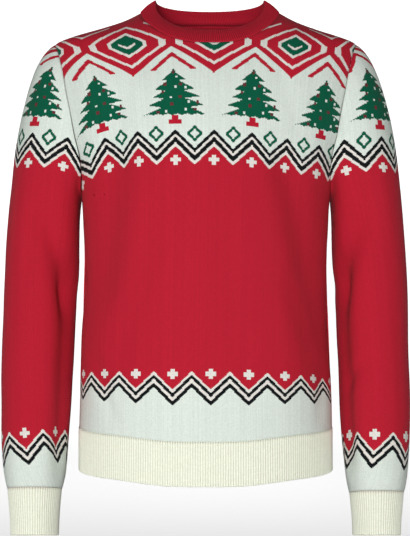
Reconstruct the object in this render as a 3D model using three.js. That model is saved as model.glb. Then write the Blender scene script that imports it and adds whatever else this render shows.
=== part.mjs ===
// A long-sleeved crew neck jumper, worn by nobody: a hollow knitted form with open neck, hem and cuffs.
// Millimetres, +Z up, the front faces -Y, and the wearer's left arm is on +X. The origin is the middle of
// the neck at the height of the side neck points, where the shoulders of a wearer hold the garment up.
import * as THREE from "three";

// Cloth
const WALL = 2.2; // jersey of the panels and sleeves
const RIB_WALL = 2.3; // ribbed cloth, measured in its grooves
const RIB_RISE = 0.8; // how far a rib stands over its grooves
const SEAM = 0.3; // space between two pieces at a seam

// Torso: superellipse sections, with the half-width at the side and the depth to the centre front and back
const SECTION_POWER = 2.2;
const TORSO = [
  { z: 6, side: 88, front: 22, back: 40 },
  { z: 0, side: 98, front: 31, back: 52 },
  { z: -5, side: 106, front: 38, back: 62 },
  { z: -15, side: 126, front: 50, back: 74 },
  { z: -27, side: 159, front: 60, back: 84 },
  { z: -38, side: 193, front: 68, back: 91 },
  { z: -46, side: 212, front: 73, back: 95 },
  { z: -60, side: 219.5, front: 81, back: 101 },
  { z: -82, side: 221.5, front: 91, back: 108 },
  { z: -115, side: 216, front: 103, back: 115 },
  { z: -145, side: 207.5, front: 110, back: 118 },
  { z: -180, side: 197.5, front: 116, back: 119 },
  { z: -215, side: 185, front: 119, back: 118 },
  { z: -262, side: 176, front: 120, back: 114 },
  { z: -310, side: 173.5, front: 118, back: 109 },
  { z: -361, side: 172, front: 115, back: 105 },
  { z: -447, side: 175.5, front: 114, back: 105 },
  { z: -520, side: 177.5, front: 115, back: 108 },
  { z: -592, side: 178.7, front: 117, back: 111 },
  { z: -652, side: 179, front: 118, back: 112 },
];

// Heights on the side of the torso
const SHOULDER_TIP_Z = -46;
const UNDERARM_Z = -262;
const RIB_LINE_Z = -592;
const HEM_Z = -652;

// Armhole, a superellipse as seen from the side
const ARMHOLE_DEPTH = 54;
const ARMHOLE_POWER = 2.4;
const ARMHOLE_STEPS = 14; // from the shoulder tip to the underarm

// Neckline, an oval as seen from above, cut through the torso's surface
const NECK = { side: 98, front: 79, back: 62, power: 2.6 };

// Neck rib: its free edge, an oval that rises from the front to the side neck and dips at the back
const NECK_EDGE = { side: 77, front: 61.5, back: 52, power: 2.3 };
const NECK_EDGE_SIDE_Z = 18;
const NECK_EDGE_FRONT_Z = -36;
const NECK_EDGE_BACK_Z = 13;
const NECK_BOW = 1.6; // how far the band rounds out between its seam and its edge
const NECKLINE_LOWEST_Z = -75; // no column of a panel meets the neckline below this

// Ribs, one crest each
const HEM_RIBS = 142; // on each of the front and the back
const CUFF_RIBS = 66;
const NECK_RIBS = 74; // on each of the front and the back half

// Sleeve sections below the upper arm: centre, half-width, half-depth, forward lean of the arm in degrees
const SLEEVE_POWER = 2.1;
const SLEEVE = [
  { z: -372, x: 233, y: 4, across: 52, deep: 57, lean: 2 },
  { z: -426, x: 235, y: 2, across: 51.6, deep: 56, lean: 4 },
  { z: -491, x: 237, y: -4, across: 50.4, deep: 54, lean: 6.5 },
  { z: -549, x: 238, y: -11, across: 49.3, deep: 51.5, lean: 9 },
  { z: -603, x: 238.4, y: -20, across: 46.9, deep: 48.5, lean: 11 },
  { z: -640, x: 238.2, y: -27, across: 43.4, deep: 44.5, lean: 12 },
  { z: -656, x: 238.1, y: -30.3, across: 40.4, deep: 41, lean: 12.5 },
  { z: -665, x: 238, y: -32, across: 38, deep: 38, lean: 13 },
];
const CUFF = [
  { z: -665, x: 238, y: -32, across: 36.8, deep: 36.4, lean: 13 },
  { z: -690, x: 237.4, y: -37.5, across: 34.6, deep: 34, lean: 13 },
  { z: -712, x: 236.6, y: -42.5, across: 33, deep: 32.4, lean: 13 },
  { z: -731, x: 236, y: -47, across: 32.4, deep: 31.8, lean: 13 },
];

// Upper arm: how strongly the sleeve leaves the armhole at the shoulder and at the underarm
const SHOULDER_PULL = 168;
const UNDERARM_PULL = 14;
const FRONT_SWELL = 0.32; // share of the pull that fills the sleeve out to the front and back
const SIDE_PULL = 0.9; // share that leads away from the body
const DOWN_PULL = 0.46; // share that leads down from the shoulder tip
const PULL_POWER = 0.8; // how fast the pull grows towards the shoulder tip
const ARM_RADIUS = 54; // turns a share of the way round the arm into millimetres
const UPPER_ARM_STEPS = [0, 0.05, 0.12, 0.2, 0.3, 0.42, 0.56, 0.7, 0.85];
const FOREARM_STEPS = [-372, -405, -440, -476, -512, -549, -585, -620, -645, -665];
const CUFF_STEPS = [-665, -684, -706, -731];

// Soft folds of the sleeves. A fold runs between two places, each a height and a turn about the arm, where
// turn 0 is the outer side, 0.25 the front, 0.5 the side next to the body and 0.75 the back.
const SLEEVE_FOLDS = [
  { fromZ: -322, fromTurn: 0.22, toZ: -392, toTurn: 0.42, depth: 4.5, width: 13 },
  { fromZ: -405, fromTurn: 0.35, toZ: -540, toTurn: 0.36, depth: 3, width: 15 },
  { fromZ: -300, fromTurn: 0.8, toZ: -372, toTurn: 0.6, depth: 4, width: 14 },
  { fromZ: -425, fromTurn: 0.86, toZ: -470, toTurn: 0.66, depth: 3.2, width: 13 },
];

// Grids of the outer and the inner points
const PANEL_COLUMNS = 24;
const SIDE_ROWS = 9;
const SHOULDER_ROWS = 5;
const SLICE_STEPS = 48;
const RIB_INNER_STEPS = 36;
const CUFF_INNER_STEPS = 24;
const ARMHOLE_FINE_STEPS = 400;
const NECK_EDGE_STEPS = 60;
const HALVINGS = 40; // of the range in which a neckline height is found
const ROUND_BIT = 0.004; // share of a ring over which its direction is taken
const TURN_BIT = 0.01; // the same on a sleeve or cuff
const DOWN_BIT = 4; // millimetres over which a sleeve's direction is taken

const RED = 0xae2536;
const CREAM = 0xecefd8;

// Smooth value of a column of a table at a height. The rows run downwards.
function valueAt(table, column, z) {
  const last = table.length - 1;
  if (z >= table[0].z) return table[0][column];
  if (z <= table[last].z) return table[last][column];
  let row = 0;
  while (table[row + 1].z > z) row += 1;
  const slope = (i) => {
    const above = table[Math.max(i - 1, 0)];
    const below = table[Math.min(i + 1, last)];
    return (below[column] - above[column]) / (below.z - above.z);
  };
  const span = table[row + 1].z - table[row].z;
  const t = (z - table[row].z) / span;
  const start = table[row][column];
  const end = table[row + 1][column];
  const rise = (3 - 2 * t) * t * t;
  const leave = t * (1 - t) * (1 - t) * span * slope(row);
  const arrive = t * t * (t - 1) * span * slope(row + 1);
  return start + (end - start) * rise + leave + arrive;
}

function mix(a, b, t) {
  return a + (b - a) * t;
}

// Even shares from 0 to 1
function evenShares(steps) {
  return Array.from({ length: steps + 1 }, (_, i) => i / steps);
}

// How far along a chain of points each of them lies, as a share of its length
function chainShares(chain) {
  const lengths = [0];
  for (let i = 1; i < chain.length; i += 1) lengths.push(lengths[i - 1] + chain[i].distanceTo(chain[i - 1]));
  return lengths.map((length) => length / lengths[chain.length - 1]);
}

// Point of a chain of points at a share of its length
function alongChain(chain, share) {
  const shares = chainShares(chain);
  let step = 1;
  while (step < chain.length - 1 && shares[step] < share) step += 1;
  const part = (share - shares[step - 1]) / (shares[step] - shares[step - 1]);
  return chain[step - 1].clone().lerp(chain[step], Math.min(part, 1));
}

// Depth of the torso's sections on one face, -1 for the front and 1 for the back
function depthAt(face, z) {
  return valueAt(TORSO, face < 0 ? "front" : "back", z);
}

// How far from the side seam's plane a panel ends at a height: at the seam, or round the armhole
function edgeDepth(z) {
  const middle = (SHOULDER_TIP_Z + UNDERARM_Z) / 2;
  const reach = (SHOULDER_TIP_Z - UNDERARM_Z) / 2;
  const across = Math.abs(z - middle) / reach;
  if (across >= 1) return SEAM / 2;
  const depth = ARMHOLE_DEPTH * Math.pow(1 - Math.pow(across, ARMHOLE_POWER), 1 / ARMHOLE_POWER);
  return Math.max(depth, SEAM / 2);
}

// Point of the torso's surface: share runs from -1 to 1 across the face, evenly along the section
function torsoPoint(face, share, z) {
  const side = valueAt(TORSO, "side", z);
  const depth = depthAt(face, z);
  const power = 2 / SECTION_POWER;
  const most = Math.acos(Math.pow(edgeDepth(z) / depth, 1 / power));
  const at = (i) => {
    const angle = (most * i) / SLICE_STEPS;
    return [side * Math.pow(Math.sin(angle), power), depth * Math.pow(Math.cos(angle), power)];
  };
  const lengths = [0];
  for (let i = 1; i <= SLICE_STEPS; i += 1) {
    const [ax, ay] = at(i - 1);
    const [bx, by] = at(i);
    lengths.push(lengths[i - 1] + Math.hypot(bx - ax, by - ay));
  }
  const wanted = Math.abs(share) * lengths[SLICE_STEPS];
  let step = 1;
  while (step < SLICE_STEPS && lengths[step] < wanted) step += 1;
  const part = (wanted - lengths[step - 1]) / (lengths[step] - lengths[step - 1]);
  const [x, y] = at(step - 1 + part);
  return new THREE.Vector3(Math.sign(share) * x, face * y, z);
}

// Direction that faces out of the torso at a point of its surface
function torsoNormal(point) {
  const face = point.y < 0 ? -1 : 1;
  const side = valueAt(TORSO, "side", point.z);
  const depth = depthAt(face, point.z);
  const sideSlope = valueAt(TORSO, "side", point.z + 0.5) - valueAt(TORSO, "side", point.z - 0.5);
  const depthSlope = depthAt(face, point.z + 0.5) - depthAt(face, point.z - 0.5);
  const x = Math.abs(point.x) / side;
  const y = Math.abs(point.y) / depth;
  return new THREE.Vector3(
    (Math.sign(point.x) * Math.pow(x, SECTION_POWER - 1)) / side,
    (face * Math.pow(y, SECTION_POWER - 1)) / depth,
    (-Math.pow(x, SECTION_POWER) * sideSlope) / side - (Math.pow(y, SECTION_POWER) * depthSlope) / depth,
  ).normalize();
}

// Height at which a column of a panel meets the neckline
function necklineHeight(face, share) {
  let low = NECKLINE_LOWEST_Z;
  let high = TORSO[0].z;
  for (let turn = 0; turn < HALVINGS; turn += 1) {
    const z = (low + high) / 2;
    const point = torsoPoint(face, share, z);
    const reach = face < 0 ? NECK.front : NECK.back;
    const across = Math.pow(Math.abs(point.x) / NECK.side, NECK.power);
    const along = Math.pow(Math.abs(point.y) / reach, NECK.power);
    if (across + along > 1) low = z;
    else high = z;
  }
  return (low + high) / 2;
}

// Turn about the armhole in step with its length, as heights from the shoulder tip to the underarm
function armholeHeights() {
  const middle = (SHOULDER_TIP_Z + UNDERARM_Z) / 2;
  const reach = (SHOULDER_TIP_Z - UNDERARM_Z) / 2;
  const fine = ARMHOLE_FINE_STEPS;
  const at = (i) => {
    const angle = (Math.PI * i) / fine;
    const c = Math.cos(angle);
    const y = ARMHOLE_DEPTH * Math.pow(Math.abs(Math.sin(angle)), 2 / ARMHOLE_POWER);
    return [y, middle + reach * Math.sign(c) * Math.pow(Math.abs(c), 2 / ARMHOLE_POWER)];
  };
  const lengths = [0];
  for (let i = 1; i <= fine; i += 1) {
    const [ay, az] = at(i - 1);
    const [by, bz] = at(i);
    lengths.push(lengths[i - 1] + Math.hypot(by - ay, bz - az));
  }
  const heights = [];
  let i = 0;
  for (let k = 0; k <= ARMHOLE_STEPS; k += 1) {
    const wanted = (lengths[fine] * k) / ARMHOLE_STEPS;
    while (i < fine && lengths[i] < wanted - 1e-9) i += 1;
    heights.push(at(i)[1]);
  }
  heights[0] = SHOULDER_TIP_Z;
  heights[ARMHOLE_STEPS] = UNDERARM_Z;
  return heights;
}

const ARMHOLE_ZS = armholeHeights();

// Heights of a panel's rows along its own edge: side seam, armhole and shoulder seam
function panelHeights() {
  const bottom = RIB_LINE_Z + SEAM / 2;
  const heights = [];
  for (let i = 0; i < SIDE_ROWS; i += 1) heights.push(mix(bottom, UNDERARM_Z, i / SIDE_ROWS));
  for (let i = ARMHOLE_STEPS; i > 0; i -= 1) heights.push(ARMHOLE_ZS[i]);
  const top = necklineHeight(-1, 1);
  for (let i = 0; i <= SHOULDER_ROWS; i += 1) heights.push(mix(SHOULDER_TIP_Z, top, i / SHOULDER_ROWS));
  return heights;
}

// Grid of points on one face of the torso, from the rib line up to the neckline
function panelGrid(face, columns, heights, inset) {
  const bottom = heights[0];
  const top = heights[heights.length - 1];
  const shares = Array.from({ length: columns + 1 }, (_, i) => (2 * i) / columns - 1);
  const tops = shares.map((share) => necklineHeight(face, share));
  return heights.map((height) =>
    shares.map((share, i) => {
      const z = mix(bottom, tops[i], (height - bottom) / (top - bottom));
      const point = torsoPoint(face, share, z);
      return point.addScaledVector(torsoNormal(point), -inset);
    }),
  );
}

// Triangles between two chains of points that start and end side by side
function bridge(triangles, a, b) {
  const placesA = chainShares(a);
  const placesB = chainShares(b);
  let i = 0;
  let j = 0;
  while (i < a.length - 1 || j < b.length - 1) {
    const nextA = i < a.length - 1 ? placesA[i + 1] : Infinity;
    const nextB = j < b.length - 1 ? placesB[j + 1] : Infinity;
    if (nextA <= nextB) {
      triangles.push([a[i], a[i + 1], b[j]]);
      i += 1;
    } else {
      triangles.push([a[i], b[j + 1], b[j]]);
      j += 1;
    }
  }
}

// Triangles of a grid of rows, seen from its front
function sheet(triangles, grid, turned) {
  for (let i = 0; i < grid.length - 1; i += 1) {
    for (let j = 0; j < grid[i].length - 1; j += 1) {
      const [a, b, c, d] = [grid[i][j], grid[i][j + 1], grid[i + 1][j + 1], grid[i + 1][j]];
      const short = a.distanceTo(c) <= b.distanceTo(d);
      const pair = short ? [[a, b, c], [a, c, d]] : [[a, b, d], [b, c, d]];
      for (const [p, q, r] of pair) triangles.push(turned ? [p, r, q] : [p, q, r]);
    }
  }
}

// Closed wall between a grid of outer points and one of inner points. In a tube each row ends where it began.
function wall(outer, inner, tube) {
  const triangles = [];
  sheet(triangles, outer, false);
  sheet(triangles, inner, true);
  const last = outer.length - 1;
  const innerLast = inner.length - 1;
  bridge(triangles, inner[0], outer[0]);
  bridge(triangles, outer[last], inner[innerLast]);
  if (!tube) {
    const column = (grid, end) => grid.map((row) => row[end ? row.length - 1 : 0]);
    bridge(triangles, outer.map((row) => row[0]), column(inner, false));
    bridge(triangles, column(inner, true), column(outer, true));
  }
  const volume = triangles.reduce((sum, [a, b, c]) => sum + a.dot(b.clone().cross(c)), 0);
  const points = triangles.flatMap(([a, b, c]) => (volume < 0 ? [a, c, b] : [a, b, c]));
  const geometry = new THREE.BufferGeometry().setFromPoints(points);
  geometry.computeVertexNormals();
  return geometry;
}

function mesh(name, geometry, color) {
  const material = new THREE.MeshStandardMaterial({ color, roughness: 0.9, metalness: 0 });
  const made = new THREE.Mesh(geometry, material);
  made.name = name;
  return made;
}

// Front or back of the body
function panel(name, face) {
  const heights = panelHeights();
  const innerHeights = heights.filter((_, i) => i % 2 === 0 || i === heights.length - 1);
  const outer = panelGrid(face, PANEL_COLUMNS, heights, 0);
  const inner = panelGrid(face, PANEL_COLUMNS, innerHeights, WALL);
  return mesh(name, wall(outer, inner, false), RED);
}

// Rib grid: each rib has a crest and a groove, and the points between two rows run straight
function ribRow(count, at) {
  return Array.from({ length: 2 * count + 1 }, (_, i) => {
    const { point, normal } = at(i / (2 * count));
    return point.clone().addScaledVector(normal, i % 2 === 0 ? 0 : RIB_RISE);
  });
}

// Plain row behind the ribs, at the given shares of the row
function plainRow(shares, at) {
  return shares.map((share) => {
    const { point, normal } = at(share);
    return point.clone().addScaledVector(normal, -RIB_WALL);
  });
}

// Ribbed band under the front or the back
function hemRib(name, face) {
  const rows = [HEM_Z, RIB_LINE_Z - SEAM / 2].map((z) => (part) => {
    const point = torsoPoint(face, 2 * part - 1, z);
    return { point, normal: torsoNormal(point) };
  });
  const outer = rows.map((at) => ribRow(HEM_RIBS, at));
  const inner = rows.map((at) => plainRow(evenShares(RIB_INNER_STEPS), at));
  return mesh(name, wall(outer, inner, false), CREAM);
}

// Neckline as the panels' own chords, from the wearer's right round the front to the left and the back
function necklineChain() {
  const shares = Array.from({ length: PANEL_COLUMNS + 1 }, (_, i) => (2 * i) / PANEL_COLUMNS - 1);
  const along = (face, order) => order.map((share) => torsoPoint(face, share, necklineHeight(face, share)));
  return [along(-1, shares), along(1, shares.slice().reverse())];
}

// Half of the free edge of the neck rib, evenly along its length
function neckEdgeChain(face) {
  const reach = face < 0 ? NECK_EDGE.front : NECK_EDGE.back;
  const far = face < 0 ? NECK_EDGE_FRONT_Z : NECK_EDGE_BACK_Z;
  return evenShares(NECK_EDGE_STEPS).map((part) => {
    const angle = Math.PI * (part - 0.5);
    const x = Math.sign(angle) * NECK_EDGE.side * Math.pow(Math.abs(Math.sin(angle)), 2 / NECK_EDGE.power);
    const y = reach * Math.pow(Math.abs(Math.cos(angle)), 2 / NECK_EDGE.power);
    return new THREE.Vector3(-face * x, face * y, mix(NECK_EDGE_SIDE_Z, far, y / reach));
  });
}

// Ribbed collar, a band that stands on the neckline and leans in to the neck
function neckRib(name) {
  const seams = necklineChain();
  const edges = [-1, 1].map(neckEdgeChain);
  const pick = (chains, part) => {
    const half = part < 0.5 ? 0 : 1;
    return alongChain(chains[half], Math.min(Math.max(2 * part - half, 0), 1));
  };
  const place = (part, up) => {
    const seam = pick(seams, part);
    const edge = pick(edges, part);
    const round = pick(seams, part + ROUND_BIT).sub(pick(seams, part - ROUND_BIT));
    const rise = torsoNormal(seam).cross(round).normalize();
    return seam.addScaledVector(rise, SEAM).lerp(edge, up);
  };
  const row = (up) => (part) => {
    const point = place(part, up);
    if (up === 0) return { point, normal: torsoNormal(pick(seams, part)) };
    const round = place(part + ROUND_BIT, up).sub(place(part - ROUND_BIT, up));
    const normal = round.cross(place(part, 1).sub(place(part, 0))).normalize();
    return { point: point.addScaledVector(normal, 4 * NECK_BOW * up * (1 - up)), normal };
  };
  const rows = [0, 0.5, 1].map(row);
  const halfSteps = (chain, half) => chainShares(chain).slice(half).map((share) => (half + share) / 2);
  const steps = seams.flatMap(halfSteps);
  const close = (points) => points.slice(0, -1).concat(points[0]);
  const outer = rows.map((at) => close(ribRow(2 * NECK_RIBS, at)));
  const inner = rows.map((at) => close(plainRow(steps, at)));
  return mesh(name, wall(outer, inner, true), RED);
}

// Point of a ring round the arm. Turn 0 is the outer side and 0.25 the front.
function ringPoint(table, turn, z) {
  const columns = ["x", "y", "across", "deep", "lean"];
  const [x, y, across, deep, lean] = columns.map((key) => valueAt(table, key, z));
  const angle = 2 * Math.PI * turn;
  const shape = (value) => Math.sign(value) * Math.pow(Math.abs(value), 2 / SLEEVE_POWER);
  const outward = across * shape(Math.cos(angle));
  const forward = deep * shape(Math.sin(angle));
  const tip = THREE.MathUtils.degToRad(lean);
  return new THREE.Vector3(x + outward, y - forward * Math.cos(tip), z + forward * Math.sin(tip));
}

// Point of the armhole's edge, at a step of the ring
function armholePoint(turn) {
  const part = turn - Math.floor(turn);
  const face = part <= 0.5 ? -1 : 1;
  const steps = 2 * ARMHOLE_STEPS * Math.min(part, 1 - part);
  const low = Math.min(Math.floor(steps + 1e-9), ARMHOLE_STEPS - 1);
  const at = (k) => torsoPoint(face, 1, ARMHOLE_ZS[k]);
  return at(low).lerp(at(low + 1), steps - low);
}

// Direction and strength with which the sleeve leaves the armhole
function armholePull(turn) {
  const angle = 2 * Math.PI * turn;
  const high = (1 + Math.cos(angle)) / 2;
  const strength = UNDERARM_PULL + (SHOULDER_PULL - UNDERARM_PULL) * Math.pow(high, PULL_POWER);
  return new THREE.Vector3(SIDE_PULL, -FRONT_SWELL * Math.sin(angle), -DOWN_PULL * high)
    .normalize()
    .multiplyScalar(strength);
}

// Upper arm: a smooth curve from the armhole to the first ring, for each turn
function upperArmPoint(turn, part) {
  const pull = armholePull(turn);
  const start = armholePoint(turn).addScaledVector(pull, SEAM / pull.length());
  const top = SLEEVE[0].z;
  const end = ringPoint(SLEEVE, turn, top);
  const arrival = end.clone().sub(ringPoint(SLEEVE, turn, top - DOWN_BIT));
  arrival.multiplyScalar(-start.distanceTo(end) / arrival.length());
  const t = part;
  return start
    .clone()
    .multiplyScalar((1 + 2 * t) * (1 - t) * (1 - t))
    .addScaledVector(pull, t * (1 - t) * (1 - t))
    .addScaledVector(end, t * t * (3 - 2 * t))
    .addScaledVector(arrival, t * t * (t - 1));
}

// Sleeve surface without folds: along runs from 0 at the armhole to 1 at the first ring, and then by height
function sleevePoint(turn, along) {
  return along < 1 ? upperArmPoint(turn, along) : ringPoint(SLEEVE, turn, SLEEVE[0].z - (along - 1));
}

// Direction that faces out of the sleeve
function sleeveNormal(turn, along) {
  const bit = along < 1 ? TURN_BIT : 1;
  const before = Math.max(along - bit, 0);
  const down = sleevePoint(turn, along + bit).sub(sleevePoint(turn, before));
  const round = sleevePoint(turn + TURN_BIT, along).sub(sleevePoint(turn - TURN_BIT, along));
  return round.cross(down).normalize();
}

// Depth of the folds at a place of the sleeve
function foldDepth(point, turn) {
  const girth = 2 * Math.PI * ARM_RADIUS;
  return SLEEVE_FOLDS.reduce((sum, fold) => {
    const runZ = fold.toZ - fold.fromZ;
    const runTurn = (fold.toTurn - fold.fromTurn) * girth;
    const offZ = point.z - fold.fromZ;
    const offTurn = (turn - fold.fromTurn) * girth;
    const length = Math.hypot(runZ, runTurn);
    const along = (offZ * runZ + offTurn * runTurn) / length;
    const away = (offTurn * runZ - offZ * runTurn) / length;
    const past = Math.max(-along, along - length, 0);
    const fade = Math.pow(away / fold.width, 2) + Math.pow(past / (2 * fold.width), 2);
    return sum + fold.depth * Math.exp(-fade);
  }, 0);
}

function sleeveRow(steps, along, inset, side) {
  const row = Array.from({ length: steps }, (_, i) => {
    const turn = i / steps;
    const point = sleevePoint(turn, along);
    const depth = inset + foldDepth(point, turn);
    point.addScaledVector(sleeveNormal(turn, along), -depth);
    return new THREE.Vector3(side * point.x, point.y, point.z);
  });
  return row.concat(row[0]);
}

// Sleeve on one side, 1 for the wearer's left
function sleeve(name, side) {
  const alongs = UPPER_ARM_STEPS.concat(FOREARM_STEPS.map((z) => 1 + SLEEVE[0].z - z));
  const innerAlongs = alongs.filter((_, i) => i < 2 || i % 2 === 0 || i === alongs.length - 1);
  const steps = 2 * ARMHOLE_STEPS;
  const outer = alongs.map((along) => sleeveRow(steps, along, 0, side));
  const inner = innerAlongs.map((along) => sleeveRow(steps, along, WALL, side));
  return mesh(name, wall(outer, inner, true), RED);
}

// Ribbed cuff on one side
function cuffRib(name, side) {
  const row = (z) => (part) => {
    const point = ringPoint(CUFF, part, z);
    const round = ringPoint(CUFF, part + TURN_BIT, z).sub(ringPoint(CUFF, part - TURN_BIT, z));
    const down = ringPoint(CUFF, part, z - 1).sub(ringPoint(CUFF, part, z + 1));
    const normal = round.cross(down).normalize();
    point.z -= z === CUFF[0].z ? SEAM : 0;
    return { point, normal };
  };
  const mirrored = (points) => points.map((p) => new THREE.Vector3(side * p.x, p.y, p.z));
  const close = (points) => mirrored(points.slice(0, -1).concat(points[0]));
  const rows = CUFF_STEPS.map(row);
  const outer = rows.map((at) => close(ribRow(CUFF_RIBS, at)));
  const inner = rows.map((at) => close(plainRow(evenShares(CUFF_INNER_STEPS), at)));
  return mesh(name, wall(outer, inner, true), CREAM);
}

const sweater = new THREE.Group();
sweater.add(panel("front_panel", -1));
sweater.add(panel("back_panel", 1));
sweater.add(hemRib("hem_rib_front", -1));
sweater.add(hemRib("hem_rib_back", 1));
sweater.add(neckRib("neck_rib"));
for (const [word, side] of [["left", 1], ["right", -1]]) {
  sweater.add(sleeve(`sleeve_${word}`, side));
  sweater.add(cuffRib(`cuff_rib_${word}`, side));
}

export default sweater;
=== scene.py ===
"""A long-sleeved crew neck jumper in patterned jersey, held in its hollow worn form.

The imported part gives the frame: metres, +Z up, the front faces -Y and the wearer's left arm is on +X.
Sizes below are millimetres unless a name says otherwise, and a mesh comes to metres when it is placed.
"""

import logging
import math
from dataclasses import dataclass
from enum import Enum
from typing import Callable, Sequence

import bmesh
import bpy
import numpy as np
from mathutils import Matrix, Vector


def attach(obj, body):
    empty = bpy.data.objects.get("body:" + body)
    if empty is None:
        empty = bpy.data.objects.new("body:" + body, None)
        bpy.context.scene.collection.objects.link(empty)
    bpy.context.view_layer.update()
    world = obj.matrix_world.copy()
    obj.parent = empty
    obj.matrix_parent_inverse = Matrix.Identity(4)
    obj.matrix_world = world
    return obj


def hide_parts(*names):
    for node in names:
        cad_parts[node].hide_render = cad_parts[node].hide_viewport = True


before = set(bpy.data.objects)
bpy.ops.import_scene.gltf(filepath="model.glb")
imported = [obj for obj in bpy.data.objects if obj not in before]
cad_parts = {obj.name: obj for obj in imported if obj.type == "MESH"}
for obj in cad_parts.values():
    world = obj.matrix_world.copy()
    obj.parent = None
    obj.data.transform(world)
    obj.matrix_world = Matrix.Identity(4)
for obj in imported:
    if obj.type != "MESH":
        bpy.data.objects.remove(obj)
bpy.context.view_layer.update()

LOG = logging.getLogger("jumper")
MM = 0.001
BODY = "root"
KNIT_MAP = "knit"

WALL = 2.2  # jersey
RIB_WALL = 2.3  # ribbed cloth, measured in its grooves
RIB_RISE = 0.8  # how far a rib stands over its grooves
HEM_RIBS = 142  # on each of the front and the back
CUFF_RIBS = 66
NECK_RIBS = 206  # all round
SEAM = 0.2  # space between two pieces at a seam
SEAM_TURN = 0.25  # how deep a piece's edge turns in at a seam
SEAM_SOFT = 2.6  # how far from the edge the turn begins
TUBE_SEAM = 0.7  # share of that turn at a sleeve's own seam
SHELL_MERGE = 0.02  # points of a sleeve's seam that lie closer than this become one
RIB_MERGE = 0.004  # the same on a ribbed band
GIRTH = 2 * math.pi * 54  # turns a share of the way round the arm into millimetres
TURN_BIT = 0.01  # share of a turn over which a cuff's direction is taken
RING_BIT = 0.004  # the same round the neck
DOWN_BIT = 4.0  # length over which a sleeve's direction is taken
RIPPLE_LENGTHS = (210.0, 150.0, 96.0, 61.0)
RIPPLE_POWER = 1.2  # how much weaker the shorter ripples are
PANEL_SEED = 11
SLEEVE_SEED = 20

Finishes = Sequence[bpy.types.Material]
Colour = bpy.types.NodeSocket | tuple[float, ...]


class Face(Enum):
    """A face of the body, with the side of the frame that it lies on."""

    FRONT = -1
    BACK = 1


class Side(Enum):
    """An arm of the wearer, with the side of the frame that it lies on."""

    LEFT = 1
    RIGHT = -1


class Yarn(Enum):
    """A dyed yarn, or a colour of painted shade, as red, green and blue from 0 to 255 in daylight."""

    RED = (188, 27, 48)
    # painted shade for the grooves between the red ribs, not a yarn
    RED_GROOVE_SHADE = (84, 8, 20)
    GREEN = (0, 90, 64)
    BLACK = (9, 13, 15)
    MINT = (226, 235, 226)
    WHITE = (232, 228, 221)
    CREAM = (243, 245, 229)
    BERRY = (104, 46, 50)
    # painted shade for the grooves between the cream ribs, not a yarn
    SHADE = (186, 190, 156)
    # painted shadow for the gaps where the cream ribs begin, not a yarn
    SHADOW = (130, 132, 108)

    @property
    def linear(self) -> tuple[float, float, float, float]:
        """The colour in linear light, opaque."""
        red, green, blue = (_to_linear(value / 255) for value in self.value)
        return (red, green, blue, 1.0)


def _to_linear(value: float) -> float:
    """One channel of a screen colour, from 0 to 1, in linear light."""
    return value / 12.92 if value <= 0.04045 else ((value + 0.055) / 1.055) ** 2.4


class Profile:
    """A smooth curve of one value over height, through a few rows."""

    def __init__(self, rows: Sequence[tuple[float, float]]) -> None:
        """Keeps the rows by rising height and works out the slope at each.

        Args:
            rows: pairs of a height and the value there.
        """
        ordered = sorted(rows)
        self.heights = np.array([row[0] for row in ordered], float)
        self.values = np.array([row[1] for row in ordered], float)
        above = np.minimum(np.arange(len(ordered)) + 1, len(ordered) - 1)
        below = np.maximum(np.arange(len(ordered)) - 1, 0)
        rise = self.values[above] - self.values[below]
        self.slopes = rise / (self.heights[above] - self.heights[below])

    def at(self, z: np.ndarray) -> np.ndarray:
        """The value at some heights.

        Args:
            z: heights, in any shape.

        Returns:
            The values, in the same shape.
        """
        z = np.clip(z, self.heights[0], self.heights[-1])
        low = np.clip(np.searchsorted(self.heights, z, side="right") - 1, 0, len(self.heights) - 2)
        span = self.heights[low + 1] - self.heights[low]
        t = (z - self.heights[low]) / span
        rise = (3 - 2 * t) * t * t
        leave = t * (1 - t) ** 2 * span * self.slopes[low]
        arrive = t * t * (t - 1) * span * self.slopes[low + 1]
        return self.values[low] + (self.values[low + 1] - self.values[low]) * rise + leave + arrive


def smooth(share: np.ndarray) -> np.ndarray:
    """An even step from 0 to 1 that starts and ends gently.

    Args:
        share: how far along the step each value is, which may lie outside it.

    Returns:
        The values from 0 to 1.
    """
    share = np.clip(share, 0, 1)
    return share * share * (3 - 2 * share)


def unit(vectors: np.ndarray) -> np.ndarray:
    """Vectors of any number, each brought to a length of one."""
    return vectors / np.maximum(np.linalg.norm(vectors, axis=-1, keepdims=True), 1e-12)


def rounded(value: np.ndarray, power: float) -> np.ndarray:
    """A sine or cosine bent so that a circle becomes a rounded square, squarer as the power grows."""
    return np.sign(value) * np.abs(value) ** (2 / power)


def table_curve(rows: Sequence[Sequence[float]], index: int) -> Profile:
    """One column of a table as a curve over the table's first column."""
    return Profile([(row[0], row[index]) for row in rows])


def run_lengths(points: np.ndarray, axis: int) -> np.ndarray:
    """Length from the first point of each row or column to each of its points.

    Args:
        points: a grid of points.
        axis: 0 for columns and 1 for rows.

    Returns:
        The lengths, one for each point.
    """
    steps = np.linalg.norm(np.diff(points, axis=axis), axis=-1)
    sums = np.cumsum(steps, axis=axis)
    return np.concatenate([np.zeros_like(np.take(sums, [0], axis=axis)), sums], axis=axis)


def grid_normals(points: np.ndarray, wraps: bool) -> np.ndarray:
    """Directions square to a grid of points.

    Args:
        points: rows of points, where across times up faces out.
        wraps: whether each row ends where it began.

    Returns:
        One direction for each point.
    """
    if wraps:
        body = points[:, :-1]
        across = np.roll(body, -1, axis=1) - np.roll(body, 1, axis=1)
        across = np.concatenate([across, across[:, :1]], axis=1)
    else:
        across = np.gradient(points, axis=1)
    return unit(np.cross(across, np.gradient(points, axis=0)))


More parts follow.
